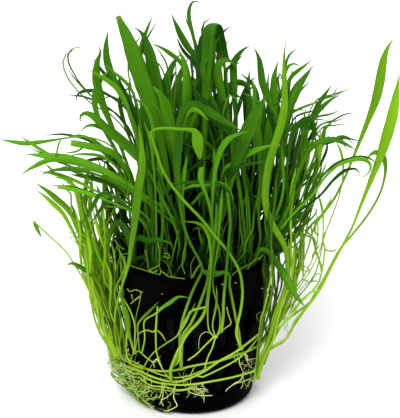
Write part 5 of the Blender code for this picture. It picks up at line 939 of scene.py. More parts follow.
def stem(growth, path, radius, tint, number, around=10, taper=1.0, joints=()):
    """A round stem. At station s and turn t: the path, plus the radius there all round; it swells at its joints."""
    along, ways = wide_ways(path, 0.0)
    other = np.cross(along, ways)
    turn = np.linspace(0, 2 * np.pi, around, endpoint=False)
    half = np.linspace(radius, radius * taper, len(path))
    for spot in joints:
        half = half + 0.5 * radius * np.exp(-np.linalg.norm(path - spot, axis=1) ** 2 / 0.9)
    rings = path[:, None] + half[:, None, None] * (ways[:, None] * np.cos(turn)[:, None]
                                                   + other[:, None] * np.sin(turn)[:, None])
    ends = np.array([path[0] - along[0] * 0.1, path[-1] + along[-1] * half[-1] * 0.6])
    grain = grain_of(1.5 * np.cos(turn), length_along(path), number)
    growth.skin(rings, grain, even_tone(len(path), tint, 1.0), ends)


def knob(growth, centre, radius, tint):
    """A crown or joint: rings of a flattened ball, uneven round its turn."""
    levels, around = 9, 18
    rise = np.linspace(-0.42, 0.42, levels) * np.pi
    turn = np.linspace(0, 2 * np.pi, around, endpoint=False)
    swell = radius * (1 + 0.08 * np.sin(3 * turn + centre[0]))
    out = np.cos(rise)[:, None] * swell
    rings = centre + stacked(out * np.cos(turn), out * np.sin(turn), 0.75 * radius * np.sin(rise)[:, None])
    growth.skin(rings, grain_of(3 * np.cos(turn), radius * rise, 0), even_tone(levels, tint, 1.0))


# ------------------------------------------------------------------ finding a leaf in its solid

# How far a leaf's tip and middle may lie from its solid's skin, and how much worse it counts if one lies further. How
# often a hidden leaf is tried, and how far its whole path may lie from the skin at its furthest and on average.
TIP_NEAR, MIDDLE_NEAR, STRAYED = 1, 1.2, 3
HIDDEN_TRIES, FURTHEST, ON_AVERAGE = 160, 1.8, 0.7
# Shifts of the tip and bows of the middle, the smallest first.
LEANS = sorted(((tip, bow) for tip in range(-16, 17, 2) for bow in range(-10, 11, 2)),
               key=lambda lean: abs(lean[0]) + 1.3 * abs(lean[1]))


def tree_of(node):
    """The node's solid as a search tree, in millimetres."""
    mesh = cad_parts[node].data
    return BVHTree.FromPolygons([v.co / MM for v in mesh.vertices], [tuple(p.vertices) for p in mesh.polygons])


def apart(tree, path):
    """How far the path is from the solid's skin, at its furthest and on average."""
    off = [tree.find_nearest(p)[3] for p in path]
    return max(off), sum(off) / len(off)


def place(node, tree, leaf, root, number, clear=0.0):
    """The leaf's path, at the depth where it runs inside the node's solid: the one nearest to it on average, and
    only for want of another one whose tip or middle strays from it."""
    tip_forward, line = leaf[1], free_line(node, leaf[2])
    root = foot_of(root, number, JOINT_FOOT if node.startswith("runner") else CROWN_FOOT)
    least, best = math.inf, None
    for tip, bow in LEANS:
        if clear and bow < 0:
            continue
        path = path_of(line, root, tip_forward + tip, bow, clear and clear + 0.15 * bow)
        off = apart(tree, path[2::3])[1]
        tip_off, middle_off = (tree.find_nearest(path[k])[3] for k in (-2, SAMPLES // 2))
        if tip_off > TIP_NEAR or middle_off > MIDDLE_NEAR:
            off += STRAYED
        if off < least:
            least, best = off, path
    return best


def place_behind(tree, root, number, dice):
    """The hidden leaf that the same throws of the dice gave the solid: its path, its sideways directions and its
    width, or nothing where it has none."""
    for _ in range(HIDDEN_TRIES):
        heading = math.radians(dice.uniform(25, 155))
        lean = math.radians(dice.uniform(4, 20))
        bend = math.radians(dice.uniform(15, 115))
        length = dice.uniform(48, 92)
        widest = dice.choice((1.3, 1.8, 2.4, 3.0, 3.8))
        path = arch(foot_of(root, number, CROWN_FOOT), heading, lean, bend, length)
        if not inside_screen(path):
            continue
        turn = dice.uniform(-0.5, 0.5)
        most, mean = apart(tree, path[2::3])
        if most < FURTHEST and mean < ON_AVERAGE:
            along, _ = wide_ways(path, 0.0)
            flat = np.array((-math.sin(heading), math.cos(heading), 0.0))
            ways = unit(math.cos(turn) * flat + math.sin(turn) * np.cross(along, flat))
            return path, unit(ways - (ways * along).sum(axis=1)[:, None] * along), widest
    return None


# ------------------------------------------------------------------ pot, medium and matted roots

def pot_shell():
    """The pot turned from its profile: point (row, column) lies at the row's radius and height, at the column's
    share of a turn. Quads are left out at the slots, whose four reveals join the outer wall to the inner one."""
    def bend(centre_r, centre_z, radius, first, last, steps):
        return [(centre_r + radius * math.cos(a), centre_z + radius * math.sin(a))
                for a in np.radians(np.linspace(first, last, steps))]

    under = POT_HEIGHT - LIP_THICK
    levels = [z for tier in SLOT_TIERS for z in tier]
    foot_r = WALL_FOOT_RADIUS - FOOT_ROUND
    outer = [(0.0, 0.0), (6.0, 0.0), (foot_r * 0.8, 0.0)] + bend(foot_r, FOOT_ROUND, FOOT_ROUND, -90, 0, 9)
    first_out = len(outer)
    outer += [(wall_radius(z), z) for z in levels]
    lip = [(wall_radius(under) + 0.05, under - 0.3), (wall_radius(under) + 0.3, under)]
    lip += bend(LIP_RADIUS - 0.3, under + 0.3, 0.3, -90, 0, 4)
    lip += bend(LIP_RADIUS - 0.5, POT_HEIGHT - 0.5, 0.5, 0, 90, 5)
    mouth = wall_radius(POT_HEIGHT) - WALL
    lip += [(mouth + 0.6, POT_HEIGHT), (mouth + 0.3, POT_HEIGHT - 0.15), (wall_radius(under) - WALL, under - 0.4)]
    first_in = first_out + len(levels) + len(lip)
    floor = bend(wall_radius(FOOT_ROUND) - WALL - 1.8, FLOOR + 1.6, 1.6, 0, -90, 5) + [(8.0, FLOOR), (0.0, FLOOR)]
    profile = np.array(outer + lip + [(wall_radius(z) - WALL, z) for z in levels[::-1]] + floor)
    columns = COLUMNS_EACH * SLOTS
    turn = 2 * np.pi * np.arange(columns) / columns
    points = stacked(profile[:, :1] * np.cos(turn), profile[:, :1] * np.sin(turn), profile[:, 1:]).reshape(-1, 3)
    row, c = np.meshgrid(np.arange(len(profile) - 1), np.arange(columns), indexing="ij")
    n = (c + 1) % columns
    low, high = row * columns, (row + 1) * columns
    quads = np.stack([low + c, low + n, high + n, high + c], axis=-1)
    slot = c % COLUMNS_EACH < SLOT_COLUMNS
    pierced = {first_out: first_in + 2, first_out + 2: first_in}
    keep = np.ones(row.shape, bool)
    for out_row, in_row in pierced.items():
        keep &= ~(slot & ((row == out_row) | (row == in_row)))
    reveals = []
    for out_row, in_row in pierced.items():
        a, b, d, e = (k * columns for k in (out_row, out_row + 1, in_row + 1, in_row))
        for first in range(0, columns, COLUMNS_EACH):
            for p in range(first, first + SLOT_COLUMNS):
                q = p + 1
                reveals += [(a + p, a + q, d + q, d + p), (b + q, b + p, e + p, e + q)]
            p, q = first, first + SLOT_COLUMNS
            reveals += [(b + p, a + p, d + p, e + p), (a + q, b + q, e + q, d + q)]
    return points, [quads[keep].reshape(-1, 4), np.array(reveals)]


def medium_top():
    """The plug: a lathe below, and above it mounds with granules. Height at (x, y) is medium_height, plus
    a bump for each of many seeded granules: its size times one less the squared distance in its radii."""
    def wall_at(z):
        return wall_radius(z) - WALL - GAP

    dice = np.random.default_rng(GRANULE_SEED)
    granules, around, out_to = 900, 180, 24
    turn = np.linspace(0, 2 * np.pi, around, endpoint=False)
    share = np.linspace(1, 0.012, 74)[:, None]
    radius = wall_at(44.5) * 0.985 * share
    x, y = radius * np.cos(turn), radius * np.sin(turn)
    z = medium_height(x, y) - 0.8 * np.clip((share - 0.72) / 0.28, 0, 1)
    where = out_to * np.sqrt(dice.random(granules))
    angle = dice.random(granules) * 2 * np.pi
    size = dice.uniform(0.35, 1.1, granules)
    for gx, gy, g in zip(where * np.cos(angle), where * np.sin(angle), size):
        bump = 1 - ((x - gx) ** 2 + (y - gy) ** 2) / g**2
        z = np.maximum(z, medium_height(gx, gy) - 0.8 * (math.hypot(gx, gy) / out_to) ** 4 - 0.35 * g
                       + 0.75 * g * np.sqrt(np.clip(bump, 0, 1)) * (bump > 0) - 9 * (bump <= 0))
    low = [(wall_at(FOOT_ROUND) - 2.0, FLOOR + GAP), (wall_at(FOOT_ROUND) - 0.5, FLOOR + 1.6)]
    low += [(wall_at(h), h) for h in np.linspace(4, 43.5, 60)]
    r, h = np.array(low).T[:, :, None]
    rough = 0.985 - 0.012 * np.abs(np.sin(23 * turn + 1.7 * h) * np.sin(1.9 * h + 5 * np.sin(7 * turn)))
    return np.concatenate([stacked(r * rough * np.cos(turn), r * rough * np.sin(turn), h),
                           np.stack([x, y, z], axis=-1)])


def on_wall(turn, z, off):
    """The point at this direction in degrees and height, this far out from the pot's wall."""
    r = WALL_FOOT_RADIUS + ROOT_SLOPE * max(z - FOOT_ROUND, -2.0) + off
    return (r * math.cos(math.radians(turn)), r * math.sin(math.radians(turn)), z)


def mat_depth(turn, z):
    """How thick the mat is there: full in the solid's crescent and round the left crowns, thin beyond."""
    crescent = math.exp(-((turn - 188) / 34) ** 2 - ((z - 5.5) / 5.0) ** 2)
    crowns_left = math.exp(-((turn - 182) / 26) ** 2 - ((z - 10) / 4.0) ** 2)
    return 0.4 + (3.8 * crescent + 4.2 * crowns_left) * min(1.0, 0.25 + z / 7)


def wander(dice, turn, z, steps, stride, drift, swing, depths):
    """A root's course over the wall: each step turns a little, by a throw of the dice, and drifts one way; it
    keeps between these depths, as shares of the mat's."""
    heading = dice.uniform(0, 2 * math.pi)
    out = dice.uniform(*depths)
    spots = []
    for _ in range(steps):
        spots.append(on_wall(turn, z, 0.3 + mat_depth(turn, z) * out))
        heading += dice.uniform(-swing, swing)
        turn += stride * (math.cos(heading) + drift[0]) * 2.7
        z = min(max(z + stride * (math.sin(heading) + drift[1]), 0.7), 16)
        out = min(max(out + dice.uniform(-0.35, 0.35), depths[0]), depths[1])
    return spots


# The kinds of fine root that wander on the wall. Each: how many, the middle and spread of their starts in
# degrees round the pot and in height, steps, stride, drift round and up, swing, and the spans of their depths in
# the mat, radii and tints. The first kind is painted shade: near-black strands deep in the mat, that stand for the
# shade between the pale roots.
ROOTLETS = [
    (140, (191, 15), (4.3, 3.0), (5, 8), 1.2, (0.3, -0.2), 0.9, (0.0, 0.35), (0.3, 0.5), (-1.6, -1.2)),
    (64, (194, 20), (4.5, 3.4), (4, 8), 1.0, (0.1, -0.1), 1.2, (0.5, 1.1), (0.12, 0.24), (-0.5, 0.5)),
    (60, (172, 13), (9.0, 2.4), (5, 9), 1.7, (0.5, -0.25), 0.6, (0.3, 1.1), (0.12, 0.24), (-0.2, 0.7)),
    (16, (168, 16), (5.0, 2.0), (4, 7), 1.4, (0.2, -0.4), 0.8, (0.3, 1.1), (0.08, 0.16), (0.6, 1.2)),
    (14, (156, 20), (5.5, 2.6), (7, 12), 0.75, (-0.2, -0.1), 0.5, (0.1, 1.0), (0.08, 0.15), (-0.5, 0.4)),
    (16, (350, 14), (9.0, 2.0), (6, 10), 0.75, (0.1, -0.3), 0.6, (0.1, 1.0), (0.08, 0.16), (0.0, 0.8)),
]
# The fine roots seen from the front. Each: how many, the line on the sheet that they start along, how far off it,
# steps, stride, swing, the span of how clear of the wall they lie, and the span of their radii and tints.
TANGLES = [
    (62, [(-25.6, 13), (-24.2, 9.5), (-22, 6), (-19.8, 2.6), (-17, -0.4), (-14.5, -2.6)], 0.9, (5, 9), 0.75, 1.3,
     (1.2, 3.6), (0.13, 0.25), (-0.4, 0.6)),
    (16, [(-23.5, 8), (-20, 3), (-16.5, -0.6), (-13.5, -2.8)], 0.9, (6, 10), 0.9, 0.9, (2.0, 4.0), (0.08, 0.14),
     (0.8, 1.3)),
    (12, [(-22, 9), (-16, 6), (-10, 3.5), (-4, 2.4), (2, 3)], 0.9, (4, 8), 1.2, 0.5, (0.4, 1.0), (0.07, 0.13),
     (0.5, 1.2)),
    (12, [(-4, 3), (0, 2), (4, 0.8)], 1.0, (3, 7), 1.1, 0.8, (0.3, 0.8), (0.07, 0.12), (0.8, 1.3)),
    (12, [(14, 11), (16.5, 9), (18, 7)], 1.0, (3, 6), 1.0, 0.8, (0.3, 0.8), (0.07, 0.13), (0.7, 1.2)),
    (14, [(25, 20), (28, 25), (33, 31)], 1.6, (4, 8), 1.1, 0.8, (0.3, 1.5), (0.1, 0.2), (0.0, 0.8)),
]
# How far left the mat reaches on the sheet, at these heights on it.
MAT_EDGE = ((-5, -1.5, 1.9, 5.7, 9, 12, 20), (-12.5, -16.2, -19.6, -22.4, -25, -26.4, -27.6))


def root_of(growth, path, radii, tints, number, dice):
    """A fine root on its path, of a radius and a tint thrown between these."""
    stem(growth, path, dice.uniform(*radii), dice.uniform(*tints), number, around=5, taper=0.45)


def mat_strands(growth, dice):
    """Fine roots: a tangle low on the pot's left, wisps that leave it, and threads that go along the runners."""
    number = 0
    for count, round_pot, high, steps, stride, drift, swing, depths, radii, tints in ROOTLETS:
        for _ in range(count):
            number += 1
            turn, z = dice.gauss(*round_pot), min(max(dice.gauss(*high), 0.8), 14)
            spots = wander(dice, turn, z, dice.randint(*steps), stride, drift, swing, depths)
            root_of(growth, curve(spots, 6 * len(spots)), radii, tints, number, dice)
    for count, line, off, steps, stride, swing, clear, radii, tints in TANGLES:
        along = curve(line, 40)
        for _ in range(count):
            number += 1
            u, v = along[dice.randrange(40), :2]
            u, v, heading = u + dice.gauss(0, off), v + dice.gauss(0, off), dice.uniform(0, 2 * math.pi)
            spots = []
            for _ in range(dice.randint(*steps)):
                spots.append((max(u, np.interp(v, *MAT_EDGE)), v))
                heading += dice.uniform(-swing, swing)
                u, v = u + stride * math.cos(heading), v + stride * math.sin(heading)
            path = stem_path(spots, dice.uniform(*clear))
            path[:, 2] = np.maximum(path[:, 2], 0.3)
            root_of(growth, path, radii, tints, number, dice)


# ------------------------------------------------------------------ materials

def wires(tree, pairs):
    """Joins each output to its input."""
    for a, b in pairs:
        tree.links.new(a, b)


def group_of(name, takes, gives):
    """An empty node group with these sockets: (name, type, default) in, (name, type) out."""
    tree = bpy.data.node_groups.new(name, "ShaderNodeTree")
    for label, kind, value in takes:
        socket = tree.interface.new_socket(label, in_out="INPUT", socket_type=kind)
        if value is not None:
            socket.default_value = value
    for label, kind in gives:
        tree.interface.new_socket(label, in_out="OUTPUT", socket_type=kind)
    return tree, tree.nodes.new("NodeGroupInput"), tree.nodes.new("NodeGroupOutput")


def feed(tree, socket, value):
    """Gives the socket a number or a colour, or joins it to the output that it is to follow."""
    if isinstance(value, (int, float)):
        socket.default_value = value
    elif isinstance(value, tuple):
        socket.default_value = (*value, 1)
    else:
        tree.links.new(value, socket)


def math_node(tree, operation, a, b=None):
    node = tree.nodes.new("ShaderNodeMath")
    node.operation = operation
    for socket, value in zip(node.inputs, (a, b)):
        if value is not None:
            feed(tree, socket, value)
    return node.outputs[0]


def noise_node(tree, vector, scale, detail=3.0, rough=0.55):
    node = tree.nodes.new("ShaderNodeTexNoise")
    node.inputs["Scale"].default_value = scale
    node.inputs["Detail"].default_value = detail
    node.inputs["Roughness"].default_value = rough
    tree.links.new(vector, node.inputs["Vector"])
    return node.outputs["Fac"]


def mix_node(tree, share, a, b, blend="MIX"):
    node = tree.nodes.new("ShaderNodeMix")
    node.data_type, node.blend_type = "RGBA", blend
    for value, socket in ((share, node.inputs[0]), (a, node.inputs[6]), (b, node.inputs[7])):
        feed(tree, socket, value)
    return node.outputs[2]


def span_node(tree, value, low, high, to_low=0.0, to_high=1.0):
    node = tree.nodes.new("ShaderNodeMapRange")
    tree.links.new(value, node.inputs["Value"])
    for k, bound in enumerate((low, high, to_low, to_high)):
        node.inputs[k + 1].default_value = bound
    return node.outputs["Result"]


def veins_group():
    """Parallel veins: a sine across the blade, broken by noise that is drawn out along it."""
    tree, takes, gives = group_of("Parallel veins", [("Grain", "NodeSocketVector", None)],
                                  [("Lines", "NodeSocketFloat"), ("Streaks", "NodeSocketFloat"),
                                   ("Height", "NodeSocketFloat")])
    split = tree.nodes.new("ShaderNodeSeparateXYZ")
    tree.links.new(takes.outputs["Grain"], split.inputs[0])
    drawn = tree.nodes.new("ShaderNodeCombineXYZ")
    short = math_node(tree, "MULTIPLY", split.outputs[1], 0.05)
    wires(tree, zip((split.outputs[0], short, split.outputs[2]), drawn.inputs))
    streaks = noise_node(tree, drawn.outputs[0], scale=0.9)
    wave = math_node(tree, "SINE", math_node(tree, "MULTIPLY", split.outputs[0], 2 * math.pi))
    lines = math_node(tree, "POWER", math_node(tree, "ADD", math_node(tree, "MULTIPLY", wave, 0.5), 0.5), 2.5)
    lines = math_node(tree, "MULTIPLY", lines, span_node(tree, streaks, 0.3, 0.7, 0.25, 1.0))
    height = math_node(tree, "ADD", lines, math_node(tree, "MULTIPLY", streaks, 0.6))
    wires(tree, zip((lines, streaks, height), gives.inputs))
    return tree


def blotch_group():
    """Soft uneven colour: broad noise in object space, in the piece's own metres."""
    tree, takes, gives = group_of("Uneven growth", [("Scale", "NodeSocketFloat", 60.0)],
                                  [("Broad", "NodeSocketFloat"), ("Fine", "NodeSocketFloat")])
    place = tree.nodes.new("ShaderNodeTexCoord")
    for label, factor, detail in (("Broad", 1.0, 2.0), ("Fine", 14.0, 4.0)):
        noise = tree.nodes.new("ShaderNodeTexNoise")
        noise.inputs["Detail"].default_value = detail
        wires(tree, [(place.outputs["Object"], noise.inputs["Vector"]),
                     (math_node(tree, "MULTIPLY", takes.outputs["Scale"], factor), noise.inputs["Scale"]),
                     (noise.outputs["Fac"], gives.inputs[label])])
    return tree


def grouped(tree, group, **values):
    node = tree.nodes.new("ShaderNodeGroup")
    node.node_tree = group
    for label, value in values.items():
        node.inputs[label].default_value = value
    return node.outputs


def material_of(name, rough, specular):
    material = bpy.data.materials.new(name)
    material.use_nodes = True
    look = material.node_tree.nodes["Principled BSDF"]
    look.inputs["Roughness"].default_value = rough
    look.inputs["Specular IOR Level"].default_value = specular
    return material, material.node_tree, look


def bump(tree, look, height, strength, distance):
    node = tree.nodes.new("ShaderNodeBump")
    node.inputs["Strength"].default_value = strength
    node.inputs["Distance"].default_value = distance
    wires(tree, [(height, node.inputs["Height"]), (node.outputs["Normal"], look.inputs["Normal"])])


def named(tree, label):
    node = tree.nodes.new("ShaderNodeAttribute")
    node.attribute_name = label
    return node


def leaf_material(name, veins, blotch, deep, fresh, low, stalk, tip=(0.42, 0.40, 0.10)):
    """Green that runs from deep to fresh with each leaf's own tint, and at its foot from low to stalk; tints below
    zero darken it towards near black as painted shade.
    """
    material, tree, look = material_of(name, rough=0.5, specular=0.06)
    tone = tree.nodes.new("ShaderNodeSeparateColor")
    tree.links.new(named(tree, "tone").outputs["Color"], tone.inputs[0])
    vein = grouped(tree, veins)
    tree.links.new(named(tree, "grain").outputs["Vector"], vein["Lines"].node.inputs["Grain"])
    uneven = grouped(tree, blotch, Scale=55.0)
    wobble = math_node(tree, "MULTIPLY", math_node(tree, "SUBTRACT", uneven["Broad"], 0.5), 0.7)
    drawn = math_node(tree, "MULTIPLY", math_node(tree, "SUBTRACT", vein["Streaks"], 0.5), 0.6)
    tint = math_node(tree, "ADD", math_node(tree, "ADD", tone.outputs[0], wobble), drawn)
    # Painted shade: tints below zero give the share by which the colour is mixed towards near black below.
    shade = span_node(tree, tint, -1.4, -0.1, 0.06, 1.0)
    colour = mix_node(tree, span_node(tree, tint, 0.0, 1.0), deep, fresh)
    pale = tuple(0.6 * a + 0.4 * b for a, b in zip(fresh, stalk))
    colour = mix_node(tree, math_node(tree, "MULTIPLY", vein["Lines"], 0.3), colour, pale)
    foot = mix_node(tree, span_node(tree, tint, -0.3, 1.0), low, stalk)
    colour = mix_node(tree, span_node(tree, tone.outputs[1], 0.1, 1.0, 0.0, 0.85), colour, foot)
    aged = math_node(tree, "MULTIPLY", tone.outputs[2], span_node(tree, uneven["Fine"], 0.4, 0.6))
    colour = mix_node(tree, aged, colour, tip)
    # The painted shade: the colour mixed towards near black.
    colour = mix_node(tree, shade, (0.0, 0.002, 0.0), colour)
    wires(tree, [(colour, look.inputs["Base Color"]),
                 (span_node(tree, vein["Streaks"], 0.3, 0.7, 0.42, 0.6), look.inputs["Roughness"])])
    bump(tree, look, vein["Height"], strength=0.35, distance=0.00006)
    return material


def pot_material(blotch):
    """Black moulded plastic, with a fine matt grain and a film of dust in patches."""
    material, tree, look = material_of("Black pot plastic", rough=0.5, specular=0.05)
    look.inputs["IOR"].default_value = 1.2
    uneven = grouped(tree, blotch, Scale=160.0)
    dust = span_node(tree, uneven["Fine"], 0.52, 0.72, 0.0, 0.5)
    colour = mix_node(tree, dust, (0.0001, 0.0001, 0.0001), (0.0005, 0.0005, 0.0004))
    wires(tree, [(colour, look.inputs["Base Color"]),
                 (span_node(tree, uneven["Broad"], 0.3, 0.7, 0.42, 0.62), look.inputs["Roughness"])])
    bump(tree, look, uneven["Fine"], strength=0.25, distance=0.00008)
    return material


def medium_material():
    """Wet dark medium, darkened further to near black as painted shade for the pot's shaded inside: granules of
    brown, ochre and black cells over fine fibre.
    """
    material, tree, look = material_of("Dark medium with painted shade", rough=0.75, specular=0.1)
    place = tree.nodes.new("ShaderNodeTexCoord").outputs["Object"]
    cells = tree.nodes.new("ShaderNodeTexVoronoi")
    cells.inputs["Scale"].default_value = 700.0
    tree.links.new(place, cells.inputs["Vector"])
    kind = tree.nodes.new("ShaderNodeSeparateColor")
    tree.links.new(cells.outputs["Color"], kind.inputs[0])
    fibre = noise_node(tree, place, scale=900.0, detail=5.0, rough=0.7)
    # Colours kept near black: partly the medium's own dark brown, partly painted shade for the pot's inside.
    colour = mix_node(tree, fibre, (0.0004, 0.0003, 0.0002), (0.002, 0.0012, 0.0006))
    ochre = math_node(tree, "GREATER_THAN", kind.outputs[0], 0.9)
    colour = mix_node(tree, math_node(tree, "MULTIPLY", ochre, 0.8), colour, (0.008, 0.005, 0.001))
    height = math_node(tree, "SUBTRACT", fibre, cells.outputs["Distance"])
    wires(tree, [(colour, look.inputs["Base Color"]), (span_node(tree, fibre, 0.3, 0.7, 0.55, 0.9),
                                                       look.inputs["Roughness"])])
    bump(tree, look, height, strength=0.7, distance=0.0003)
    return material


# ------------------------------------------------------------------ the plant

def finish_piece(obj, nodes):
    """Parents a piece to the root body, and hides the solid nodes that it stands for."""
    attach(obj, "root")
    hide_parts(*nodes)


def put_blade(growth, path, leaf, tint, number, fade, ways=None):
    """A leaf on its path, turned as its solid is, or sideways as given at the path's samples."""
    widest, habit = leaf[0], habit_of(leaf)
    broad, one_of_many = widest > BROAD, number > ONE_OF_MANY
    growth.lines.append(path)
    fine = curve(path, (BROAD_STATIONS if broad else THIN_STATIONS) - (SPARED_STATIONS if one_of_many else 0))
    if ways is None:
        roll = roll_of(path, number, widest)
        along, across = wide_ways(fine, roll)
        widest = widest / max(0.7, math.cos(roll))
    else:
        along = unit(np.gradient(fine, axis=0))
        across = curve(ways, len(fine))
        across = unit(across - (across * along).sum(axis=1)[:, None] * along)
    around = BROAD_RING if widest > BROAD else FINE_RING if one_of_many else THIN_RING
    blade(growth, fine, across, along, widest, habit, tint, number, fade, around)


def refined(name, order, leaf):
    """The leaf with its own finer width, reach or stalk where the table gives them."""
    widest, own = FINER.get(name, {}).get(order, (leaf[0], {}))
    habit = {**(leaf[3] if len(leaf) > 3 else {}), **own}
    if widest < 3.4 or name == "side_right":
        slim = 0.6 if name.startswith("runner") else 0.68 if name == "side_right" else 0.86
        habit.setdefault("stalk", slim * habit_of((widest,))["stalk"])
    return widest, leaf[1], leaf[2], habit


def kindred(leaf, dice, spread, slim, short):
    """A neighbour of a leaf: its line cut short and moved by a drift that grows from the foot, and slimmer."""
    line = leaf[2][:max(3, round(short * len(leaf[2])))]
    lean, bow, aside = (spread * dice.gauss(0, 0.5) for _ in range(3))
    rise = spread * dice.uniform(-1.2, 0.3)
    moved = []
    for k, spot in enumerate(line):
        s = k / (len(line) - 1)
        moved.append((spot[0] + lean * s + bow * math.sin(math.pi * s) + aside * s**3, spot[1] + rise * s * s))
    return max(0.5, leaf[0] * slim), leaf[1] - dice.uniform(0, 2) * spread, moved


def add_kindred(node, leaf, dice, number, clear, spread, slim, tint, short, fade):
    """A neighbour of a leaf, on a swaying path from the leaf's own crown."""
    kin = kindred(leaf, dice, spread, slim, short)
    root = crowns[node] + np.array((dice.uniform(-1, 1), dice.uniform(-1, 1), 0.0)) * 1.1
    path = path_of(free_line(node, kin[2]), root, kin[1], dice.uniform(0 if clear else -3, 3), clear)
    put_blade(grown[node], sway(path, number), kin, tint, number, fade)


def tint_of(node, order, dice, low, high):
    """The leaf's tint where the table gives it, and otherwise the number thrown for it between these."""
    return TINTS.get(node, {}).get(order, dice.uniform(low, high))


# Each with its deep and fresh green, and then with the low and the stalk's colour at a leaf's foot.
veins, blotch = veins_group(), blotch_group()
leaf_green = leaf_material("Leaf green", veins, blotch, (0.005, 0.055, 0.001), (0.105, 0.34, 0.004),
                           (0.024, 0.08, 0.002), (0.085, 0.26, 0.006))
side_green = leaf_material("Outer leaf green", veins, blotch, (0.010, 0.085, 0.001), (0.20, 0.45, 0.006),
                           (0.11, 0.26, 0.006), (0.31, 0.51, 0.024))
runner_green = leaf_material("Runner green", veins, blotch, (0.010, 0.080, 0.002), (0.13, 0.34, 0.004),
                             (0.185, 0.36, 0.012), (0.36, 0.55, 0.045))
root_white = leaf_material("Root white", veins, blotch, (0.13, 0.28, 0.02), (0.62, 0.70, 0.34),
                           (0.21, 0.42, 0.02), (0.60, 0.72, 0.22), (0.3, 0.25, 0.12))

# The crowns: those of the tables, and then more behind them, wherever the spiral's spots leave room.
crowns = {plantlet(k): rooted(*where) for k, (where, _) in enumerate(POTTED)}
for name, (_, turns, heights, _) in SIDES.items():
    for k in range(3):
        crowns[f"{name}_{k + 1}"] = side_crown(turns[k], heights[k], SIDE_CROWN_OUT[name])
behind = []
for k in range(SPOTS):
    r, turn = SPOTS_OUT * math.sqrt((k + 0.5) / SPOTS), GOLDEN_ANGLE * k
    spot = rooted(r * math.cos(turn), -r * math.sin(turn))
    room = min(np.linalg.norm(spot - other) for other in crowns.values())
    if spot[1] > BEHIND_FROM and room > CROWNS_APART:
        behind.append(plantlet(len(POTTED) + len(behind)))
        crowns[behind[-1]] = spot

grown = {name: Growth() for name in crowns}
for name, centre in crowns.items():
    share, tint = (0.95, -0.9) if in_pot(name) else (0.65, 0.35)
    knob(grown[name], centre, share * CROWN_RADIUS, tint)

# The creeping stems.
stems = {}
for bundle, _, clear, _ in CREEPERS.values():
    stems[bundle] = paths = []
    for k, (_, line) in enumerate(RUNNERS[bundle]):
        start = nearest(paths, line[0]) if k else None
        paths.append(stem_path(line, clear + (STEM_STEP * k if bundle == "low" and k > 1 else 0), start))

# The leaves that have a solid: first the runners', then the outer rosettes' and the plantlets'.
mild = random.Random(TINT_SEED)
number = 0
for name, (bundle, leaves, _, leaf_clear) in CREEPERS.items():
    growth = grown[name] = Growth()
    growth.lines += stems[bundle]
    tree = tree_of(name)
    joints = [nearest(stems[bundle], spot) for spot in JOINTS[bundle]]
    for k, (path, (width, _)) in enumerate(zip(stems[bundle], RUNNERS[bundle])):
        stem(growth, curve(path, 120), 0.3 * width, 0.7 + 0.2 * math.sin(3 * k), k, joints=joints)
    for joint in joints:
        knob(growth, joint, 0.75, 0.8)
    if bundle == "low":
        for k, (width, tint, line) in enumerate(FINE_RUNNERS):
            path = stem_path(line, FINE_CLEAR + FINE_STEP * k, nearest(stems["low"] + stems["high"], line[0]))
            stem(growth, curve(path, 90), width / 2, tint, 20 + k, around=8, taper=0.8)
    else:
        for k, (width, tint, line) in enumerate(WALL_SHOOTS):
            path = stem_path(line, width / 2)
            stem(growth, curve(path, 40), width / 2, tint, 40 + k, around=8, taper=0.7)
        for k, (width, tint, line) in enumerate(RIM_SHOOTS):
            stem(growth, rim_path(line), width / 2, tint, 60 + k, around=8, taper=0.7)
    for order, leaf in enumerate(leaves):
        number += 1
        root = nearest([nearest(stems[bundle], leaf[2][0])] + joints, leaf[2][0])
        near = min(joints, key=lambda joint: np.linalg.norm(joint - root))
        root = near if np.linalg.norm(near - root) < JOINT_REACH else root
        path = place(name, tree, leaf, root, number, leaf_clear)
        tint = tint_of(name, order, mild, 0.3, 0.8)
        put_blade(growth, path, refined(name, order, leaf), tint, number, RUNNER_FADE)
for name, (leaves, _, _, crown_of) in SIDES.items():
    trees = [tree_of(f"{name}_{k + 1}") for k in range(3)]
    for k, leaf in enumerate(leaves):
        number += 1
        node = f"{name}_{crown_of[k]}"
        path = place(node, trees[crown_of[k] - 1], leaf, crowns[node], number, wall_clear(node))
        tint = tint_of(name, k, mild, 0.4, 0.95)
        leaf = refined(name, k, leaf)
        over = OVER.get((name, k), BULGE if leaf[0] > OVERLYING else 0)
        put_blade(grown[node], bulge(path, over) if over else sway(path, number), leaf, tint, number, FADES[name])
for k, (_, leaves) in enumerate(POTTED):
    node = plantlet(k)
    tree = tree_of(node)
    for order, leaf in enumerate(leaves):
        number += 1
        path = place(node, tree, leaf, crowns[node], number)
        tint = tint_of(node, order, mild, 0.1, 0.6)
        # Crowns at the back take the deep fade: stronger painted shade at their leaves' feet.
        fade = DEEP_FADE if crowns[node][1] > DEEP_FROM else POT_FADE
        put_blade(grown[node], path, refined(node, order, leaf), tint, number, fade)
dice = random.Random(HIDDEN_SEED)
for node in behind:
    tree = tree_of(node)
    for _ in range(HIDDEN_LEAVES):
        number += 1
        found = place_behind(tree, crowns[node], number, dice)
        if found:
            path, ways, widest = found
            # Hidden leaves take the hidden fade: strong painted shade at their feet.
            put_blade(grown[node], path, (widest,), mild.uniform(0.1, 0.5), number, HIDDEN_FADE, ways)

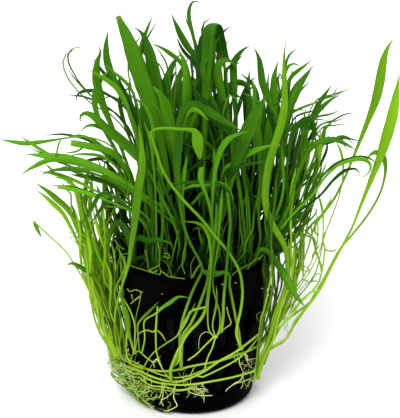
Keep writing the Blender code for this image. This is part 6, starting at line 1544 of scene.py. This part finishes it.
# Their finer neighbours, each from throws of its own, seeded by its name: those of the outer leaves, those of the
# plantlets' leaves, the sheaves, what fills the pot between them, the loose strands and the wisps.
number = ONE_OF_MANY
kin = random.Random()
for name, (leaves, _, _, crown_of) in SIDES.items():
    for k, leaf in enumerate(leaves):
        for again in range(KINDRED[name][k]):
            number += 1
            kin.seed(f"{name} {k} {again}")
            node = f"{name}_{crown_of[k]}"
            add_kindred(node, refined(name, k, leaf), kin, number, wall_clear(node), SIDE_SPREAD,
                        kin.uniform(0.4, 0.8), kin.uniform(0.25, 1.15), kin.uniform(0.4, 1.0), FADES[name])
for k, (_, leaves) in enumerate(POTTED):
    node = plantlet(k)
    for order, leaf in enumerate(leaves):
        short = max(spot[1] for spot in leaf[2]) < SHORT_LEAF
        # Neighbours of leaves that end near the middle take the hidden fade's strong painted shade at their feet.
        fade = HIDDEN_FADE if abs(leaf[2][-1][0]) < INNER else POT_FADE
        for again in range(0 if short or node in ALONE else 1 if node in SPARSE else 2):
            number += 1
            if (node, order, again) in DROPPED:
                continue
            kin.seed(f"{node} {order} {again}")
            add_kindred(node, leaf[:3], kin, number, 0.0, POT_SPREAD,
                        kin.uniform(0.45, 0.8), kin.uniform(-0.35, 0.6), kin.uniform(0.6, 0.95), fade)
for node, count, feet, tops, width, tint in SHEAVES:
    for again in range(count):
        number += 1
        kin.seed(f"{node} {feet} {again}")
        share = kin.random()
        foot, top = (low + (high - low) * share for low, high in (feet[:2], tops[:2]))
        rise = kin.uniform(*tops[2:])
        line = [(foot + (top - foot) * s**0.7 + kin.gauss(0, 0.9), feet[2] + (rise - feet[2]) * s)
                for s in (0.0, 0.3, 0.55, 0.8, 1.0)]
        root = crowns[node] + np.array((kin.uniform(-1, 1), kin.uniform(-1, 1), 0.0))
        if node == "side_right_1":
            root = nearest(grown[node].lines, line.pop(0))
        forward = kin.uniform(-14, 14 if node.startswith("side_left") else 3) - 0.5 * root[1]
        path = path_of(line, root, forward, kin.uniform(0, 2), feet[3])
        put_blade(grown[node], sway(path, number), (kin.uniform(*width),), kin.uniform(*tint), number,
                  FADES.get(node[:-2], POT_FADE))
# The fillers: tints down to below zero and the hidden fade, painted shade that darkens the pot between the crowns.
for node, crown in crowns.items():
    if not in_pot(node) or crown[1] < FILLED_FROM:
        continue
    for again in range(BACK_FILLERS if crown[1] > BEHIND_FROM else FRONT_FILLERS):
        number += 1
        kin.seed(f"{node} {again}")
        for _ in range(FILLER_TRIES):
            heading, lean = math.radians(kin.uniform(0, 180)), math.radians(kin.uniform(2, 22))
            foot = crown + 0.8 * np.array((kin.uniform(-1, 1), kin.uniform(-1, 1), 0))
            path = arch(foot, heading, lean, math.radians(kin.uniform(5, 90)), kin.uniform(26, 70))
            if inside_screen(path):
                widest = kin.choice((0.8, 1.2, 1.8, 2.4))
                put_blade(grown[node], path, (widest,), kin.uniform(-0.9, 0.5), number, HIDDEN_FADE)
                break
for node, width, drift, clear, tint, line in STRANDS:
    number += 1
    root = nearest(grown[node].lines, line[0])
    path = path_of(line[1:], root, drift - root[1], 0, clear)
    put_blade(grown[node], path, (width,), tint, number, RUNNER_FADE if clear else FADES["side_left"])
for node, count, low, high in WISPS:
    for again in range(count):
        number += 1
        kin.seed(f"{node} {again}")
        foot, top = kin.uniform(low[0], high[0]), kin.uniform(low[1], high[1])
        lean = kin.gauss(0, 3)
        line = [(foot + lean * s + kin.uniform(-0.5, 0.5), 40 + (top - 40) * s) for s in (0.25, 0.6, 1.0)]
        root = crowns[node] + np.array((kin.uniform(-2, 2), kin.uniform(-2, 1), 0.0))
        path = path_of(line, root, -root[1] + kin.uniform(-2, 3), 0, 0)
        put_blade(grown[node], path, (kin.uniform(0.4, 0.8),), kin.uniform(-0.4, 0.7), number, WISP_FADE)

for name, growth in grown.items():
    runner = name.startswith("runner")
    paint = runner_green if runner else leaf_green if in_pot(name) else side_green
    finish_piece(growth.object(f"grown_{name}", paint), [name])

mat = Growth()
mat_strands(mat, random.Random(ROOT_SEED))
for width, line in WHITE_ROOTS:
    number += 1
    root = nearest(stems["low"] + stems["high"], line[0])
    path = curve(stem_path(line, 0.75, root), 12 * len(line))
    stem(mat, path, width / 2, 1.0, number, around=6, taper=0.6)
finish_piece(mat.object("matted_roots", root_white), ["root_mat"])

plug = Growth()
rings = medium_top()
plug.skin(rings, np.zeros((*rings.shape[:2], 3)), even_tone(len(rings)))
finish_piece(plug.object("granular_medium", medium_material()), ["growing_medium"])

cup = Growth()
points, faces = pot_shell()
cup.add(points, faces, np.zeros((len(points), 3)), even_tone(len(points)))
pot = cup.object("net_pot", pot_material(blotch))
pot.data.set_sharp_from_angle(angle=math.radians(35))
finish_piece(pot, ["pot"])

# ------------------------------------------------------------------ the studio

PICTURE_SCALE = 3.21  # the picture's points to a millimetre on the sheet
PICTURE_HIGH = 418
SENSOR = 36.0


def pose(right, up, back, at):
    """The placing of a camera or a light that looks against its way back."""
    return Matrix([*zip(right, up, back, at), (0, 0, 0, 1)])


camera_data = bpy.data.cameras.new("Camera")
camera_data.sensor_fit = "VERTICAL"
camera_data.sensor_height = SENSOR
camera_data.lens = SENSOR * PICTURE_SCALE * SIGHT_FROM / PICTURE_HIGH
camera_data.clip_start, camera_data.clip_end = 0.01, 20.0
camera = bpy.data.objects.new("Camera", camera_data)
bpy.context.scene.collection.objects.link(camera)
camera.matrix_world = pose(RIGHT_WAY, UP_WAY, BACK_WAY, EYE * MM)
bpy.context.scene.camera = camera


def softbox(name, at, spread, strength, aim=(0.0, 0.0, 0.06)):
    """A far, broad light that faces the plant: its angle across, in degrees, softens the shadows."""
    data = bpy.data.lights.new(name, "SUN")
    data.angle, data.energy = math.radians(spread), strength
    light = bpy.data.objects.new(name, data)
    bpy.context.scene.collection.objects.link(light)
    away = unit(np.array(at) - np.array(aim))
    side = unit(np.cross((0.0, 0.0, 1.0), away))
    up = np.cross(away, side)
    light.matrix_world = pose(side, up, away, at)


softbox("Key", (-1.0, -3.0, 3.6), 34, 3.1)
softbox("Fill", (2.4, -2.6, 2.2), 44, 0.9)
softbox("Top", (0.2, 0.6, 4.0), 60, 1.2)
softbox("Back", (-0.6, 3.4, 2.4), 50, 1.3)

world = bpy.data.worlds.new("Studio")
world.use_nodes = True
bpy.context.scene.world = world
sky = world.node_tree.nodes["Background"]
sky.inputs["Color"].default_value = (1, 1, 1, 1)
sky.inputs["Strength"].default_value = 0.12
seen_sky = world.node_tree.nodes.new("ShaderNodeBackground")
seen_sky.inputs["Strength"].default_value = 1.0
pick = world.node_tree.nodes.new("ShaderNodeMixShader")
rays = world.node_tree.nodes.new("ShaderNodeLightPath")
wires(world.node_tree, [(rays.outputs["Is Camera Ray"], pick.inputs[0]), (sky.outputs[0], pick.inputs[1]),
                        (seen_sky.outputs[0], pick.inputs[2]),
                        (pick.outputs[0], world.node_tree.nodes["World Output"].inputs["Surface"])])
bpy.context.scene.view_settings.view_transform = "Standard"

floor_mesh = bpy.data.meshes.new("Floor")
corners = [(across, deep, -0.0002) for across, deep in ((-3, -3), (3, -3), (3, 3), (-3, 3))]
floor_mesh.from_pydata(corners, [], [(0, 1, 2, 3)])
floor_paint, _, floor_look = material_of("Pale floor", rough=0.9, specular=0.2)
floor_look.inputs["Base Color"].default_value = (0.9, 0.9, 0.9, 1)
floor_mesh.materials.append(floor_paint)
floor = bpy.data.objects.new("Floor", floor_mesh)
bpy.context.scene.collection.objects.link(floor)
